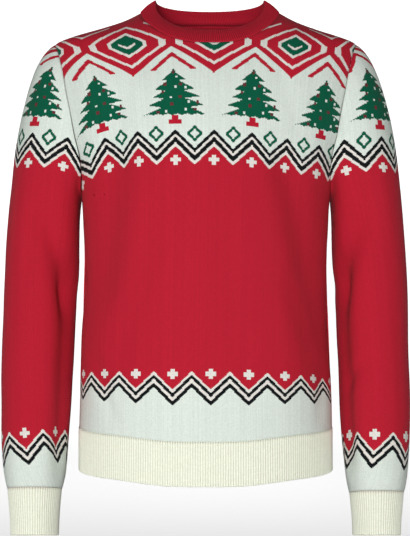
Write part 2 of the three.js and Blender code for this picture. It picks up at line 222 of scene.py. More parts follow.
@dataclass(frozen=True)
class Crease:
    """A soft trough in the cloth between two places, each given across and up."""

    start: tuple[float, float]
    end: tuple[float, float]
    depth: float
    width: float

    def about(self, girth: float) -> "Crease":
        """The crease with its places across given as shares of a girth."""
        start, end = (self.start[0] * girth, self.start[1]), (self.end[0] * girth, self.end[1])
        return Crease(start, end, self.depth, self.width)

    def at(self, across: np.ndarray, up: np.ndarray) -> np.ndarray:
        """Depth of the trough at some places.

        Args:
            across: places across the cloth.
            up: places up the cloth.

        Returns:
            How far each place sinks in.
        """
        run = np.subtract(self.end, self.start)
        length = float(np.hypot(*run))
        off = (across - self.start[0], up - self.start[1])
        along = (off[0] * run[0] + off[1] * run[1]) / length
        away = (off[0] * run[1] - off[1] * run[0]) / length
        past = np.maximum(np.maximum(-along, along - length), 0)
        return self.depth * np.exp(-((away / self.width) ** 2) - (past / (2 * self.width)) ** 2)


def ripple(across: np.ndarray, up: np.ndarray, seed: int) -> np.ndarray:
    """Slight unevenness of worn cloth, as a sum of long waves.

    Args:
        across: places across the cloth.
        up: places up the cloth.
        seed: sets the waves' directions and starts.

    Returns:
        Offsets between about -1 and 1.
    """
    chance = np.random.default_rng(seed)
    total = np.zeros_like(across)
    for length in RIPPLE_LENGTHS:
        turn, start = chance.uniform(0, 2 * math.pi, 2)
        travel = across * math.cos(turn) + up * math.sin(turn)
        total += np.sin(2 * math.pi * travel / length + start) * (length / RIPPLE_LENGTHS[0]) ** RIPPLE_POWER
    return total / 2


@dataclass(frozen=True)
class TorsoForm:
    """The surface that the body panels lie on: rounded sections, one above the other."""

    power: float = 2.2
    shoulder_tip: float = -46.0
    underarm: float = -262.0
    rib_line: float = -592.0
    hem: float = -652.0
    armhole_depth: float = 54.0
    armhole_power: float = 2.4
    neck_side: float = 98.0
    neck_power: float = 2.6
    neck_front: float = 79.0
    neck_back: float = 62.0
    neckline_lowest: float = -75.0
    neck_shift: float = 6.0
    shift_reach: float = 0.9  # share of the neck's size over which its shift fades
    shift_foot: float = -125.0
    shift_rise: float = 45.0  # height over which the shift grows from its foot
    hem_lift: float = 5.5
    lift_start: float = 35.0  # place across at which the hem begins to rise
    lift_run: float = 100.0
    lift_fade: float = 150.0  # height over the rib line at which the rise has gone
    section_steps: int = 96
    armhole_steps: int = 4000
    halvings: int = 32  # of the range in which a neckline height is found
    rows: tuple[tuple[float, float, float, float], ...] = (
        # height, half-width at the side, depth to the front, depth to the back
        (6, 88, 22, 40),
        (0, 98, 31, 52),
        (-5, 106, 38, 62),
        (-15, 126, 50, 74),
        (-27, 159, 60, 84),
        (-38, 193, 68, 91),
        (-46, 212, 73, 95),
        (-60, 219.5, 81, 101),
        (-82, 221.5, 91, 108),
        (-115, 216, 103, 115),
        (-145, 207.5, 110, 118),
        (-180, 197.5, 116, 119),
        (-215, 185, 119, 118),
        (-262, 176, 120, 114),
        (-310, 173.5, 118, 109),
        (-361, 172, 115, 105),
        (-447, 175.5, 114, 105),
        (-520, 177.5, 115, 108),
        (-592, 178.7, 117, 111),
        (-652, 179, 118, 112),
    )

    def column(self, index: int) -> Profile:
        """One of the sizes as a curve over height: 1 the side, 2 the front, 3 the back."""
        return table_curve(self.rows, index)

    def drape(self, points: np.ndarray) -> np.ndarray:
        """Moves points from the even form to how the jumper hangs.

        The neck sits a little towards the wearer's left and the hem rises a little to the sides.

        Args:
            points: points of the body or the collar.

        Returns:
            The moved points.
        """
        x, y, z = points[..., 0], points[..., 1], points[..., 2]
        reach = np.where(y < 0, self.neck_reach(Face.FRONT), self.neck_reach(Face.BACK))
        ring = self.neck_ring(points, reach) ** (1 / self.neck_power)
        near = (1 - smooth((ring - 1) / self.shift_reach)) * smooth((z - self.shift_foot) / self.shift_rise)
        aside = smooth((np.abs(x) - self.lift_start) / self.lift_run)
        lift = self.hem_lift * aside * (1 - smooth((z - self.rib_line) / self.lift_fade))
        return np.stack([x + self.neck_shift * near, y, z + lift], axis=-1)

    def depth(self, face: Face, z: np.ndarray) -> np.ndarray:
        """Depth of a face at the middle, at some heights."""
        return self.column(2 if face is Face.FRONT else 3).at(z)

    def neck_reach(self, face: Face) -> float:
        """Depth of the neckline at the middle of a face."""
        return self.neck_front if face is Face.FRONT else self.neck_back

    def neck_ring(self, points: np.ndarray, reach: np.ndarray | float) -> np.ndarray:
        """Tells places inside the neckline, seen from above, from those outside.

        Args:
            points: points of the body or the collar.
            reach: depth of the neckline at the middle, on each point's face.

        Returns:
            A value for each, under 1 inside and over 1 outside.
        """
        across = np.abs(points[..., 0] / self.neck_side) ** self.neck_power
        return across + np.abs(points[..., 1] / reach) ** self.neck_power

    @property
    def armhole_span(self) -> tuple[float, float]:
        """The height of an armhole's middle, and its reach up and down from there."""
        return (self.shoulder_tip + self.underarm) / 2, (self.shoulder_tip - self.underarm) / 2

    def edge_depth(self, z: np.ndarray) -> np.ndarray:
        """How far from the side seam's plane a panel ends.

        Args:
            z: heights.

        Returns:
            The distance at each.
        """
        middle, reach = self.armhole_span
        inside = 1 - np.minimum(np.abs(z - middle) / reach, 1) ** self.armhole_power
        return np.maximum(self.armhole_depth * inside ** (1 / self.armhole_power), SEAM / 2)

    def point(
        self, face: Face, share: np.ndarray, z: np.ndarray, whole: bool = False
    ) -> tuple[np.ndarray, np.ndarray]:
        """Points of the surface.

        Args:
            face: the face of the body.
            share: place across the face from -1 to 1, in step with the length of the section.
            z: heights.
            whole: whether the share runs to the side seam's plane, past an armhole's edge.

        Returns:
            The points, and their lengths along the section from the middle.
        """
        shape = np.broadcast(share, z).shape
        share = np.broadcast_to(share, shape).ravel()
        z = np.broadcast_to(z, shape).ravel()
        side = self.column(1).at(z)
        depth = self.depth(face, z)
        power = 2 / self.power
        edge = np.zeros_like(z) if whole else self.edge_depth(z)
        most = np.arccos((edge / depth) ** (1 / power))
        steps = self.section_steps
        angles = most[:, None] * np.linspace(0, 1, steps + 1)
        x = side[:, None] * np.sin(angles) ** power
        y = depth[:, None] * np.maximum(np.cos(angles), 0) ** power
        lengths = run_lengths(np.stack([x, y], axis=-1), axis=1)
        wanted = np.abs(share) * lengths[:, -1]
        step = np.clip((lengths < wanted[:, None]).sum(axis=1), 1, steps)
        index = np.arange(len(z))
        before = lengths[index, step - 1]
        part = (wanted - before) / (lengths[index, step] - before)
        angle = most * (step - 1 + part) / steps
        x = np.sign(share) * side * np.sin(angle) ** power
        y = face.value * depth * np.maximum(np.cos(angle), 0) ** power
        points = np.stack([x, y, z], axis=-1).reshape(*shape, 3)
        return points, (np.sign(share) * wanted).reshape(shape)

    def normal(self, points: np.ndarray) -> np.ndarray:
        """Directions that face out of the torso.

        Args:
            points: points of its surface.

        Returns:
            One direction for each.
        """
        z = points[..., 2]
        front = points[..., 1] < 0
        side = self.column(1)
        depths = [
            np.where(front, self.depth(Face.FRONT, z + step), self.depth(Face.BACK, z + step))
            for step in (-0.5, 0, 0.5)
        ]
        wide = side.at(z)
        x = np.abs(points[..., 0]) / wide
        y = np.abs(points[..., 1]) / depths[1]
        rise = -(x**self.power) * (side.at(z + 0.5) - side.at(z - 0.5)) / wide
        rise -= y**self.power * (depths[2] - depths[0]) / depths[1]
        out = [
            np.sign(points[..., 0]) * x ** (self.power - 1) / wide,
            np.where(front, -1, 1) * y ** (self.power - 1) / depths[1],
            rise,
        ]
        return unit(np.stack(out, axis=-1))

    def neckline(self, face: Face, share: np.ndarray) -> np.ndarray:
        """Heights at which some columns of a panel meet the neckline.

        Args:
            face: the face of the body.
            share: the columns' places across it.

        Returns:
            One height for each.
        """
        low = np.full_like(share, self.neckline_lowest)
        high = np.full_like(share, self.rows[0][0])
        for _ in range(self.halvings):
            z = (low + high) / 2
            points, _ = self.point(face, share, z)
            outside = self.neck_ring(points, self.neck_reach(face)) > 1
            low = np.where(outside, z, low)
            high = np.where(outside, high, z)
        return (low + high) / 2

    def armhole(self, face: np.ndarray, share: np.ndarray) -> np.ndarray:
        """Points of an armhole's edge.

        Args:
            face: -1 for the front and 1 for the back.
            share: place along each half, from 0 at the shoulder tip to 1 at the underarm.

        Returns:
            One point for each.
        """
        middle, reach = self.armhole_span
        angle = np.linspace(0, math.pi, self.armhole_steps + 1)
        y = self.armhole_depth * rounded(np.sin(angle), self.armhole_power)
        z = middle + reach * rounded(np.cos(angle), self.armhole_power)
        lengths = run_lengths(np.stack([y, z], axis=-1), axis=0)
        heights = np.interp(share, lengths / lengths[-1], z)
        front, _ = self.point(Face.FRONT, np.ones_like(heights), heights)
        back, _ = self.point(Face.BACK, np.ones_like(heights), heights)
        return np.where((face < 0)[..., None], front, back)


@dataclass(frozen=True)
class Ring:
    """A section of the sleeve, with its centre, half-width, half-depth and forward lean in degrees."""

    z: float
    x: float
    y: float
    across: float
    deep: float
    lean: float


@dataclass(frozen=True)
class ArmForm:
    """The surface that a sleeve and its cuff lie on, for the wearer's left arm."""

    torso: TorsoForm
    power: float = 2.1
    shoulder_pull: float = 168.0
    underarm_pull: float = 14.0
    pull_power: float = 0.8
    pull_out: float = 0.9
    pull_swell: float = 0.32
    pull_down: float = 0.46
    rings: tuple[Ring, ...] = (
        Ring(-372, 233, 4, 52, 57, 2),
        Ring(-426, 235, 2, 51.6, 56, 4),
        Ring(-491, 237, -4, 50.4, 54, 6.5),
        Ring(-549, 238, -11, 49.3, 51.5, 9),
        Ring(-603, 238.4, -20, 46.9, 48.5, 11),
        Ring(-640, 238.2, -27, 43.4, 44.5, 12),
        Ring(-656, 238.1, -30.3, 40.4, 41, 12.5),
        Ring(-665, 238, -32, 38, 38, 13),
    )
    cuff_rings: tuple[Ring, ...] = (
        Ring(-665, 238, -32, 36.8, 36.4, 13),
        Ring(-690, 237.4, -37.5, 34.6, 34, 13),
        Ring(-712, 236.6, -42.5, 33, 32.4, 13),
        Ring(-731, 236, -47, 32.4, 31.8, 13),
    )

    def ring_point(self, rings: Sequence[Ring], turn: np.ndarray, z: np.ndarray) -> np.ndarray:
        """Points of rings round the arm.

        Args:
            rings: the sections.
            turn: 0 on the outer side, 0.25 in front, 0.5 next to the body and 0.75 behind.
            z: heights of the rings' centres.

        Returns:
            One point for each.
        """
        x, y, across, deep, lean = (
            Profile([(ring.z, getattr(ring, name)) for ring in rings]).at(z)
            for name in ("x", "y", "across", "deep", "lean")
        )
        angle = 2 * math.pi * turn
        outward = across * rounded(np.cos(angle), self.power)
        forward = deep * rounded(np.sin(angle), self.power)
        tip = np.radians(lean)
        return np.stack([x + outward, y - forward * np.cos(tip), z + forward * np.sin(tip)], axis=-1)

    def upper_point(self, turn: np.ndarray, part: np.ndarray) -> np.ndarray:
        """Points of the upper arm, on smooth curves from the armhole to the first ring.

        Args:
            turn: place about the arm.
            part: place along it, from 0 at the armhole to 1 at the first ring.

        Returns:
            One point for each.
        """
        angle = 2 * math.pi * turn
        high = (1 + np.cos(angle)) / 2
        strength = self.underarm_pull + (self.shoulder_pull - self.underarm_pull) * high**self.pull_power
        flat = np.full_like(turn, self.pull_out)
        way = unit(np.stack([flat, -self.pull_swell * np.sin(angle), -self.pull_down * high], axis=-1))
        share = turn - np.floor(turn)
        face = np.where(share <= 0.5, -1, 1)
        start = self.torso.armhole(face, 2 * np.minimum(share, 1 - share)) + way * SEAM
        top = np.full_like(turn, self.rings[0].z)
        end = self.ring_point(self.rings, turn, top)
        arrival = end - self.ring_point(self.rings, turn, top - DOWN_BIT)
        distance = np.linalg.norm(start - end, axis=-1, keepdims=True)
        arrival = unit(arrival) * -distance
        t = part[..., None]
        placed = start * (1 + 2 * t) * (1 - t) ** 2 + way * strength[..., None] * t * (1 - t) ** 2
        return placed + end * t * t * (3 - 2 * t) + arrival * t * t * (t - 1)


@dataclass
class Piece:
    """A grid of outer points of one piece of cloth, with its place in the knitting."""

    name: str
    points: np.ndarray
    knit: np.ndarray
    wraps: bool = False


def place_grid(bm: bmesh.types.BMesh, points: np.ndarray, knit: np.ndarray) -> None:
    """Adds a grid to a bmesh, moves its vertices to a grid of points and lays out its map.

    Args:
        bm: the mesh under work.
        points: rows of points in millimetres.
        knit: the map's coordinates, one pair for each point.
    """
    rows, columns = points.shape[0] - 1, points.shape[1] - 1
    made = bmesh.ops.create_grid(bm, x_segments=columns, y_segments=rows, size=0.5)["verts"]
    layer = bm.loops.layers.uv.verify()
    placed = {}
    for vert in made:
        row, column = round((vert.co.y + 0.5) * rows), round((vert.co.x + 0.5) * columns)
        placed[vert] = (row, column)
    for vert, (row, column) in placed.items():
        vert.co = points[row, column] * MM
    for face in bm.faces:
        for loop in face.loops:
            loop[layer].uv = knit[placed[loop.vert]]


def finish_mesh(name: str, bm: bmesh.types.BMesh, materials: Finishes) -> bpy.types.Object:
    """Turns a bmesh into an object of the scene, shaded smoothly.

    Args:
        name: the object's name.
        bm: the mesh, which is freed.
        materials: its materials, the outer one first.

    Returns:
        The object.
    """
    mesh = bpy.data.meshes.new(name)
    bm.to_mesh(mesh)
    bm.free()
    mesh.uv_layers[0].name = KNIT_MAP
    mesh.shade_smooth()
    for material in materials:
        mesh.materials.append(material)
    made = bpy.data.objects.new(name, mesh)
    bpy.context.scene.collection.objects.link(made)
    return made


def cloth_shell(piece: Piece, materials: Finishes, wall: float) -> bpy.types.Object:
    """A wall of cloth inside a grid of outer points.

    Args:
        piece: the outer points.
        materials: the outer and the inner finish.
        wall: the cloth's thickness.

    Returns:
        The object, with a live Solidify modifier.
    """
    bm = bmesh.new()
    place_grid(bm, piece.points, piece.knit)
    if piece.wraps:
        bmesh.ops.remove_doubles(bm, verts=bm.verts, dist=SHELL_MERGE * MM)
    bmesh.ops.recalc_face_normals(bm, faces=bm.faces)
    middle = Vector(np.mean(piece.points.reshape(-1, 3), axis=0) * MM)
    outward = sum((face.calc_center_median() - middle).dot(face.normal) for face in bm.faces)
    if outward < 0:
        bmesh.ops.reverse_faces(bm, faces=bm.faces)
    made = finish_mesh(piece.name, bm, materials)
    solidify = made.modifiers.new("wall", "SOLIDIFY")
    solidify.thickness = wall * MM
    solidify.offset = -1
    solidify.material_offset = 1
    solidify.material_offset_rim = 1
    return made


def ribbed_wall(piece: Piece, material: bpy.types.Material, open_ends: bool) -> bpy.types.Object:
    """A closed wall of ribbed cloth whose section is a loop of points.

    Args:
        piece: the loop's points, in rows that end where they began.
        material: the finish.
        open_ends: whether the band ends at side seams and needs its two ends closed.

    Returns:
        The object.
    """
    bm = bmesh.new()
    place_grid(bm, piece.points, piece.knit)
    bmesh.ops.remove_doubles(bm, verts=bm.verts, dist=RIB_MERGE * MM)
    if open_ends:
        rim = [edge for edge in bm.edges if edge.is_boundary]
        bmesh.ops.holes_fill(bm, edges=rim, sides=0)
    bmesh.ops.recalc_face_normals(bm, faces=bm.faces)
    return finish_mesh(piece.name, bm, [material])


def seam_turn(points: np.ndarray, wraps: bool) -> np.ndarray:
    """How far each point of a piece turns in towards its sewn edges.

    The lowest row runs on into the rib without a seam.

    Args:
        points: the piece's grid.
        wraps: whether the piece is a tube, whose two long edges meet in a seam.

    Returns:
        One depth for each point.
    """
    up = run_lengths(points, axis=0)
    across = run_lengths(points, axis=1)
    from_edge = up[-1:] - up
    from_side = np.minimum(across, across[:, -1:] - across)
    near = np.maximum(1 - from_edge / SEAM_SOFT, 0) ** 2
    beside = np.maximum(1 - from_side / SEAM_SOFT, 0) ** 2
    return SEAM_TURN * np.maximum(near, beside * (TUBE_SEAM if wraps else 1.0))


# How the knitting is stretched and hangs on each side of the body, by level up from the chest zigzag.
DRIFT_LEFT = (
    # level, stretch across, sag at 150 mm from the middle by the square and by the fourth power
    (-420, 0.975, 0, 0),
    (-321, 0.975, 13, 0),
    (-200, 0.97, 8, 0),
    (-60, 0.966, 17, -4),
    (0, 0.972, 21, -6.5),
    (50, 0.994, 16, -3),
    (85, 1.036, 11, 0),
    (100, 1.048, 13, -2),
    (115, 1.075, 16, -5),
    (131, 1.09, 20, -8),
    (180, 1.125, 18, -8),
    (260, 1.125, 18, -8),
)
DRIFT_RIGHT = (
    (-420, 0.975, 0, 0),
    (-321, 0.975, 6, 0),
    (-200, 0.97, 4, 3),
    (-60, 0.966, 0, 9),
    (0, 0.99, -1, 10),
    (50, 1.022, 5, 4),
    (85, 1.045, 13, -4.5),
    (100, 1.078, 14.5, -5),
    (115, 1.1, 15.5, -5.4),
    (131, 1.145, 16.6, -6),
    (180, 1.18, 16, -6),
    (260, 1.18, 16, -6),
)
SHIFT = Profile([(-420, 7), (-321, 7), (0, 11.5), (50, 11), (85, 7.5), (100, 5.8), (131, 6), (260, 6)])
SAG_REACH = 150.0  # place across at which the sags above are given
SPREAD_START = 158.0  # place across in the chart from which the knitting spreads towards the seam
SPREAD = 0.17
SPREAD_FOOT = (-140.0, 80.0)  # level at which the spread begins, and how far up it grows
SPREAD_TOP = (110.0, 18.0)  # level at which it begins to go, and how far up it has gone


@dataclass
class BodyPanel:
    """The front or the back of the body."""

    torso: TorsoForm
    face: Face
    columns: int = 156
    side_rows: int = 92
    armhole_rows: int = 66
    shoulder_rows: int = 20
    creases: tuple[Crease, ...] = ()
    swell: float = 0.7
    swell_growth: float = 12.0  # how fast the swell grows up from the rib line, by share of the height
    chest_height: float = -178.2
    table_rows: int = 300
    table_columns: int = 71
    table_reach: float = 280.0

    def heights(self) -> np.ndarray:
        """Heights of the rows along the panel's own edge.

        Returns:
            The heights from the rib line up.
        """
        torso = self.torso
        bottom = torso.rib_line + SEAM / 2
        side = np.linspace(bottom, torso.underarm, self.side_rows, endpoint=False)
        shares = np.linspace(1, 0, self.armhole_rows, endpoint=False)
        armhole = torso.armhole(np.full(self.armhole_rows, -1), shares)[:, 2]
        top = torso.neckline(Face.FRONT, np.array([1.0]))[0]
        shoulder = np.linspace(torso.shoulder_tip, top, self.shoulder_rows + 1)
        return np.concatenate([side, armhole, shoulder])

    def courses(self, across: np.ndarray, z: np.ndarray) -> np.ndarray:
        """Length of the wales from the rib line up to some places.

        Args:
            across: lengths along the section from the middle.
            z: heights.

        Returns:
            The length for each.
        """
        levels = np.linspace(self.torso.rib_line, self.torso.rows[0][0], self.table_rows)
        wales = np.linspace(0, self.table_reach, self.table_columns)
        _, ends = self.torso.point(self.face, np.ones_like(levels), levels, whole=True)
        share = np.minimum(wales[None, :] / ends[:, None], 1)
        lines, _ = self.torso.point(self.face, share, levels[:, None] + 0 * share, whole=True)
        table = run_lengths(lines, axis=0)
        row = np.interp(z, levels, np.arange(len(levels)))
        column = np.clip(np.abs(across) / (wales[1] - wales[0]), 0, len(wales) - 1.001)
        low_row = np.minimum(row.astype(int), len(levels) - 2)
        low_column = column.astype(int)
        past_row, past_column = row - low_row, column - low_column
        below, above = (
            table[line, low_column] * (1 - past_column) + table[line, low_column + 1] * past_column
            for line in (low_row, low_row + 1)
        )
        return below * (1 - past_row) + above * past_row

    def chart(self, across: np.ndarray, level: np.ndarray) -> np.ndarray:
        """Finds the place in the chart that each point of the knitting shows.

        Args:
            across: lengths along the section from the middle, towards the wearer's left.
            level: lengths up from the tops of the chest zigzag.

        Returns:
            Pairs of a place across and a place up in the chart.
        """
        reach = np.abs(across) / SAG_REACH
        left, right = (
            [table_curve(rows, index).at(level) for index in (1, 2, 3)] for rows in (DRIFT_LEFT, DRIFT_RIGHT)
        )
        stretch, square, fourth = np.where(across > 0, left, right)
        u = (across - SHIFT.at(level)) / stretch
        (foot, growth), (top, fade) = SPREAD_FOOT, SPREAD_TOP
        below_yoke = smooth((level - foot) / growth) * (1 - smooth((level - top) / fade))
        u = u - np.sign(u) * SPREAD * np.maximum(np.abs(u) - SPREAD_START, 0) * below_yoke
        return np.stack([u, level + square * reach**2 + fourth * reach**4], axis=-1)

    def build(self, name: str, materials: Finishes) -> bpy.types.Object:
        """Makes the panel.

        Args:
            name: the piece's name.
            materials: the outer and the inner finish.

        Returns:
            The object.
        """
        heights = self.heights()
        share = np.linspace(-1, 1, self.columns + 1) * -self.face.value
        tops = self.torso.neckline(self.face, share)
        rise = (heights - heights[0]) / (heights[-1] - heights[0])
        z = heights[0] + rise[:, None] * (tops[None, :] - heights[0])
        points, across = self.torso.point(self.face, share[None, :] + 0 * z, z)
        courses = self.courses(across, z)
        chest = self.courses(np.zeros(1), np.array([self.chest_height]))[0]
        knit = self.chart(across, courses - chest)
        sink = seam_turn(points, False) + sum(c.at(points[..., 0], z) for c in self.creases)
        grown = np.minimum(rise[:, None] * self.swell_growth, 1)
        sink = sink - self.swell * ripple(across, z, PANEL_SEED + self.face.value) * grown
        points = self.torso.drape(points - self.torso.normal(points) * sink[..., None])
        piece = Piece(name, points, knit)
        LOG.info("%s: %.0f mm across, %.0f mm up", name, np.ptp(across), courses.max())
        return cloth_shell(piece, materials, WALL)


@dataclass(frozen=True)
class Hang:
    """How the knitting of one sleeve lies on the arm.

    chest_level is the length from the cuff up to the chest zigzag. tilt_cuff is how far the pattern dips
    next to the body at the cuff. cuff_drop is how far the cuff hangs below the even form.
    """

    chest_level: float
    tilt_cuff: float
    cuff_drop: float
    rows: tuple[tuple[float, float, float, float, float], ...]
    tilt_run: float = 415.0
    tilt_most: float = 1.2
    fall_start: float = 55.0  # place across, from the outer line, at which the fall is nothing

    def chart(self, across: np.ndarray, up: np.ndarray, turn: np.ndarray) -> np.ndarray:
        """Finds the place in the chart that each point of the knitting shows.

        Args:
            across: lengths across from the outer line.
            up: lengths up from the cuff.
            turn: the points' turns about the arm.

        Returns:
            Pairs of a place across and a place up in the chart.
        """
        level = up - self.chest_level
        chart, shift, stretch, fall = (table_curve(self.rows, index).at(level) for index in (1, 2, 3, 4))
        down = np.clip(-level / self.tilt_run, 0, self.tilt_most)
        tilt = self.tilt_cuff * down * np.cos(2 * math.pi * turn)
        inward = np.abs(across) - self.fall_start
        return np.stack([(across - shift) / stretch, chart + tilt + fall * inward], axis=-1)


LEFT_HANG = Hang(chest_level=483.6, tilt_cuff=1.5, cuff_drop=9.0, rows=(
    # level up from the chest zigzag, level in the chart, shift to the wearer's left, stretch, fall
    (-480, -480, 22, 1.0, 0),
    (-415, -415, 20.5, 1.0, 0),
    (-150, -146, 0, 1.03, 0.03),
    (-44.5, -40, -12, 1.04, 0.1),
    (0, 0, -6, 1.05, 0.1),
    (104, 88.5, 9, 1.06, 0.08),
    (260, 221, 16, 1.06, 0.08),
))
RIGHT_HANG = Hang(chest_level=489.0, tilt_cuff=3.0, cuff_drop=4.0, rows=(
    (-480, -480, 18, 0.97, 0),
    (-415, -415, 17, 0.97, 0),
    (-150, -147, 13, 1.0, 0.05),
    (-43, -40, 12.5, 1.0, 0.13),
    (0, 0, 12, 1.01, 0.13),
    (102, 88.5, 4.5, 1.0, 0.17),
    (260, 226, 2, 1.0, 0.15),
))


@dataclass
class Sleeve:
    """A sleeve, closed into a tube with its seam next to the body."""

    arm: ArmForm
    side: Side
    hang: Hang
    creases: tuple[Crease, ...] = ()
    columns: int = 116
    forearm_rows: int = 96
    upper_rows: int = 84
    unrolled_rows: int = 320
    swell: float = 0.8
    swell_fade: float = 30.0  # length from either end over which the swell grows
    drop_start: float = -560.0
    drop_run: float = 105.0

    def turns(self) -> np.ndarray:
        """Turns of the columns, so that they run towards the wearer's left as seen from the front.

        Returns:
            One turn for each column.
        """
        share = np.linspace(0, 1, self.columns + 1)
        return 0.5 - share if self.side is Side.LEFT else share - 0.5

    def form(self) -> tuple[np.ndarray, np.ndarray]:
        """Points of the sleeve without its seam turns, for the wearer's left arm.

        Returns:
            The grid from the cuff up to the armhole, and the turn of each of its points.
        """
        rings = self.arm.rings
        z = np.linspace(rings[-1].z, rings[0].z, self.forearm_rows, endpoint=False)
        part = np.linspace(1, 0, self.upper_rows + 1)
        turns = self.turns()
        lower_turn = np.broadcast_to(turns, (len(z), len(turns)))
        upper_turn = np.broadcast_to(turns, (len(part), len(turns)))
        lower = self.arm.ring_point(rings, lower_turn, z[:, None] + 0 * lower_turn)
        upper = self.arm.upper_point(upper_turn, part[:, None] + 0 * upper_turn)
        return np.concatenate([lower, upper]), np.concatenate([lower_turn, upper_turn])

    def unroll(self, points: np.ndarray) -> np.ndarray:
        """Lays the tube out flat, along level courses and with its outer line straight.

        Args:
            points: the tube's grid.

        Returns:
            For each point its length across from the outer line and its length up from the cuff.
        """
        up = run_lengths(points, axis=0)
        levels = np.linspace(0, up.max(), self.unrolled_rows)
        columns = points.shape[1]
        rows = np.arange(points.shape[0])
        contour = np.empty((len(levels), columns, 3))
        for column in range(columns):
            place = np.interp(levels, up[:, column], rows)
            for axis in range(3):
                contour[:, column, axis] = np.interp(place, rows, points[:, column, axis])
        across = run_lengths(contour, axis=1)
        across = across - across[:, columns // 2][:, None]
        u = np.empty_like(up)
        for column in range(columns):
            u[:, column] = np.interp(up[:, column], levels, across[:, column])
        return np.stack([u, up], axis=-1)

    def build(self, name: str, materials: Finishes) -> bpy.types.Object:
        """Makes the sleeve.

        Args:
            name: the piece's name.
            materials: the outer and the inner finish.

        Returns:
            The object.
        """
        points, turn = self.form()
        flat = self.unroll(points)
        around = (turn - np.floor(turn)) * GIRTH
        folds = [fold.about(GIRTH) for fold in self.creases]
        sink = seam_turn(points, True) + sum(fold.at(around, points[..., 2]) for fold in folds)
        across, up = flat[..., 0], flat[..., 1]
        grown = np.minimum(np.minimum(up, up.max(axis=0) - up) / self.swell_fade, 1)
        sink = sink - self.swell * ripple(across, up, SLEEVE_SEED + self.side.value) * grown
        normals = grid_normals(points, True)
        if self.side is Side.RIGHT:
            normals = -normals
        points = points - normals * sink[..., None]
        points[:, -1] = points[:, 0]
        points[..., 2] -= self.hang.cuff_drop * smooth((self.drop_start - points[..., 2]) / self.drop_run)
        points[..., 0] *= self.side.value
        LOG.info("%s: %.0f mm round, %.0f mm up", name, np.ptp(across), up.max())
        return cloth_shell(Piece(name, points, self.hang.chart(across, up, turn), True), materials, WALL)


@dataclass
class Ribbing:
    """A band of ribs whose section is a loop: out along its face, round its free edge and back inside."""

    ribs: int
    steps_a_rib: int = 6
    rise: float = RIB_RISE
    crest_power: float = 0.8
    face_rows: int = 12
    round_rows: int = 6
    inner_rows: int = 4

    def section(self, length: float) -> np.ndarray:
        """The loop's places, from the sewn edge to the free edge and back.

        Args:
            length: how wide the band is.

        Returns:
            Rows with the place along the band, the depth under its face and how far ribs show there.
        """
        radius = RIB_WALL / 2
        out = []
        for step in range(self.face_rows):
            out.append((length * step / self.face_rows * (1 - radius / length), 0.0, 1.0))
        edge = []
        for step in range(self.round_rows + 1):
            turn = math.pi * step / self.round_rows
            along = length - radius + radius * math.sin(turn)
            edge.append((along, radius * (1 - math.cos(turn)), math.cos(turn / 2) ** 2))
        back = [
            ((length - radius) * (1 - step / self.inner_rows), RIB_WALL, 0.0)
            for step in range(1, self.inner_rows + 1)
        ]
        return np.array(out + edge + back + [out[0]])

    def build(
        self,
        name: str,
        base: Callable[[np.ndarray, np.ndarray], tuple[np.ndarray, np.ndarray]],
        length: float,
        material: bpy.types.Material,
        open_ends: bool,
    ) -> bpy.types.Object:
        """Makes a band.

        Args:
            name: the piece's name.
            base: gives points and outward directions for places round the band and along it.
            length: how wide the band is.
            material: the finish.
            open_ends: whether the band ends at side seams.

        Returns:
            The object.
        """
        section = self.section(length)
        around = np.linspace(0, 1, self.ribs * self.steps_a_rib + 1)
        along = section[:, 0][:, None] + 0 * around
        points, normals = base(around[None, :] + 0 * along, along)
        crest = np.sin(math.pi * (around * self.ribs % 1)) ** self.crest_power
        offset = crest[None, :] * self.rise * section[:, 2][:, None] - section[:, 1][:, None]
        points = points + normals * offset[..., None]
        if not open_ends:
            points[:, -1] = points[:, 0]
        points[-1] = points[0]
        knit = np.stack([around[None, :] * self.ribs + 0 * along, along], axis=-1)
        return ribbed_wall(Piece(name, points, knit), material, open_ends)


@dataclass
class HemBand:
    """The ribbed band under the front or the back."""

    torso: TorsoForm
    face: Face
    ribbing: Ribbing

    def base(self, around: np.ndarray, along: np.ndarray) -> tuple[np.ndarray, np.ndarray]:
        """Points and outward directions of the band.

        Args:
            around: place across the face from 0 to 1.
            along: length down from the rib line.

        Returns:
            The points and the directions.
        """
        z = self.torso.rib_line + SEAM / 2 - along
        points, _ = self.torso.point(self.face, (2 * around - 1) * -self.face.value, z)
        return self.torso.drape(points), self.torso.normal(points)

    def build(self, name: str, material: bpy.types.Material) -> bpy.types.Object:
        """Makes the band, named and finished as given."""
        length = self.torso.rib_line + SEAM / 2 - self.torso.hem
        return self.ribbing.build(name, self.base, length, material, True)


@dataclass
class CuffBand:
    """The ribbed cuff of one sleeve."""

    arm: ArmForm
    side: Side
    ribbing: Ribbing
    drop: float

    def base(self, around: np.ndarray, along: np.ndarray) -> tuple[np.ndarray, np.ndarray]:
        """Points and outward directions of the cuff.

        Args:
            around: place round the wrist from 0 to 1.
            along: length down from the sleeve.

        Returns:
            The points and the directions.
        """
        rings = self.arm.cuff_rings
        z = rings[0].z - along
        points = self.arm.ring_point(rings, around, z)
        before = self.arm.ring_point(rings, around - TURN_BIT, z)
        round_step = self.arm.ring_point(rings, around + TURN_BIT, z) - before
        down = self.arm.ring_point(rings, around, z - 1) - self.arm.ring_point(rings, around, z + 1)
        normals = unit(np.cross(round_step, down))
        flip = np.array([self.side.value, 1, 1])
        length = rings[0].z - rings[-1].z
        lower = (points - np.array([0, 0, self.drop]) * (1 - along / length)[..., None]) * flip
        return lower, normals * flip

    def build(self, name: str, material: bpy.types.Material) -> bpy.types.Object:
        """Makes the cuff, named and finished as given."""
        rings = self.arm.cuff_rings
        return self.ribbing.build(name, self.base, rings[0].z - rings[-1].z, material, False)


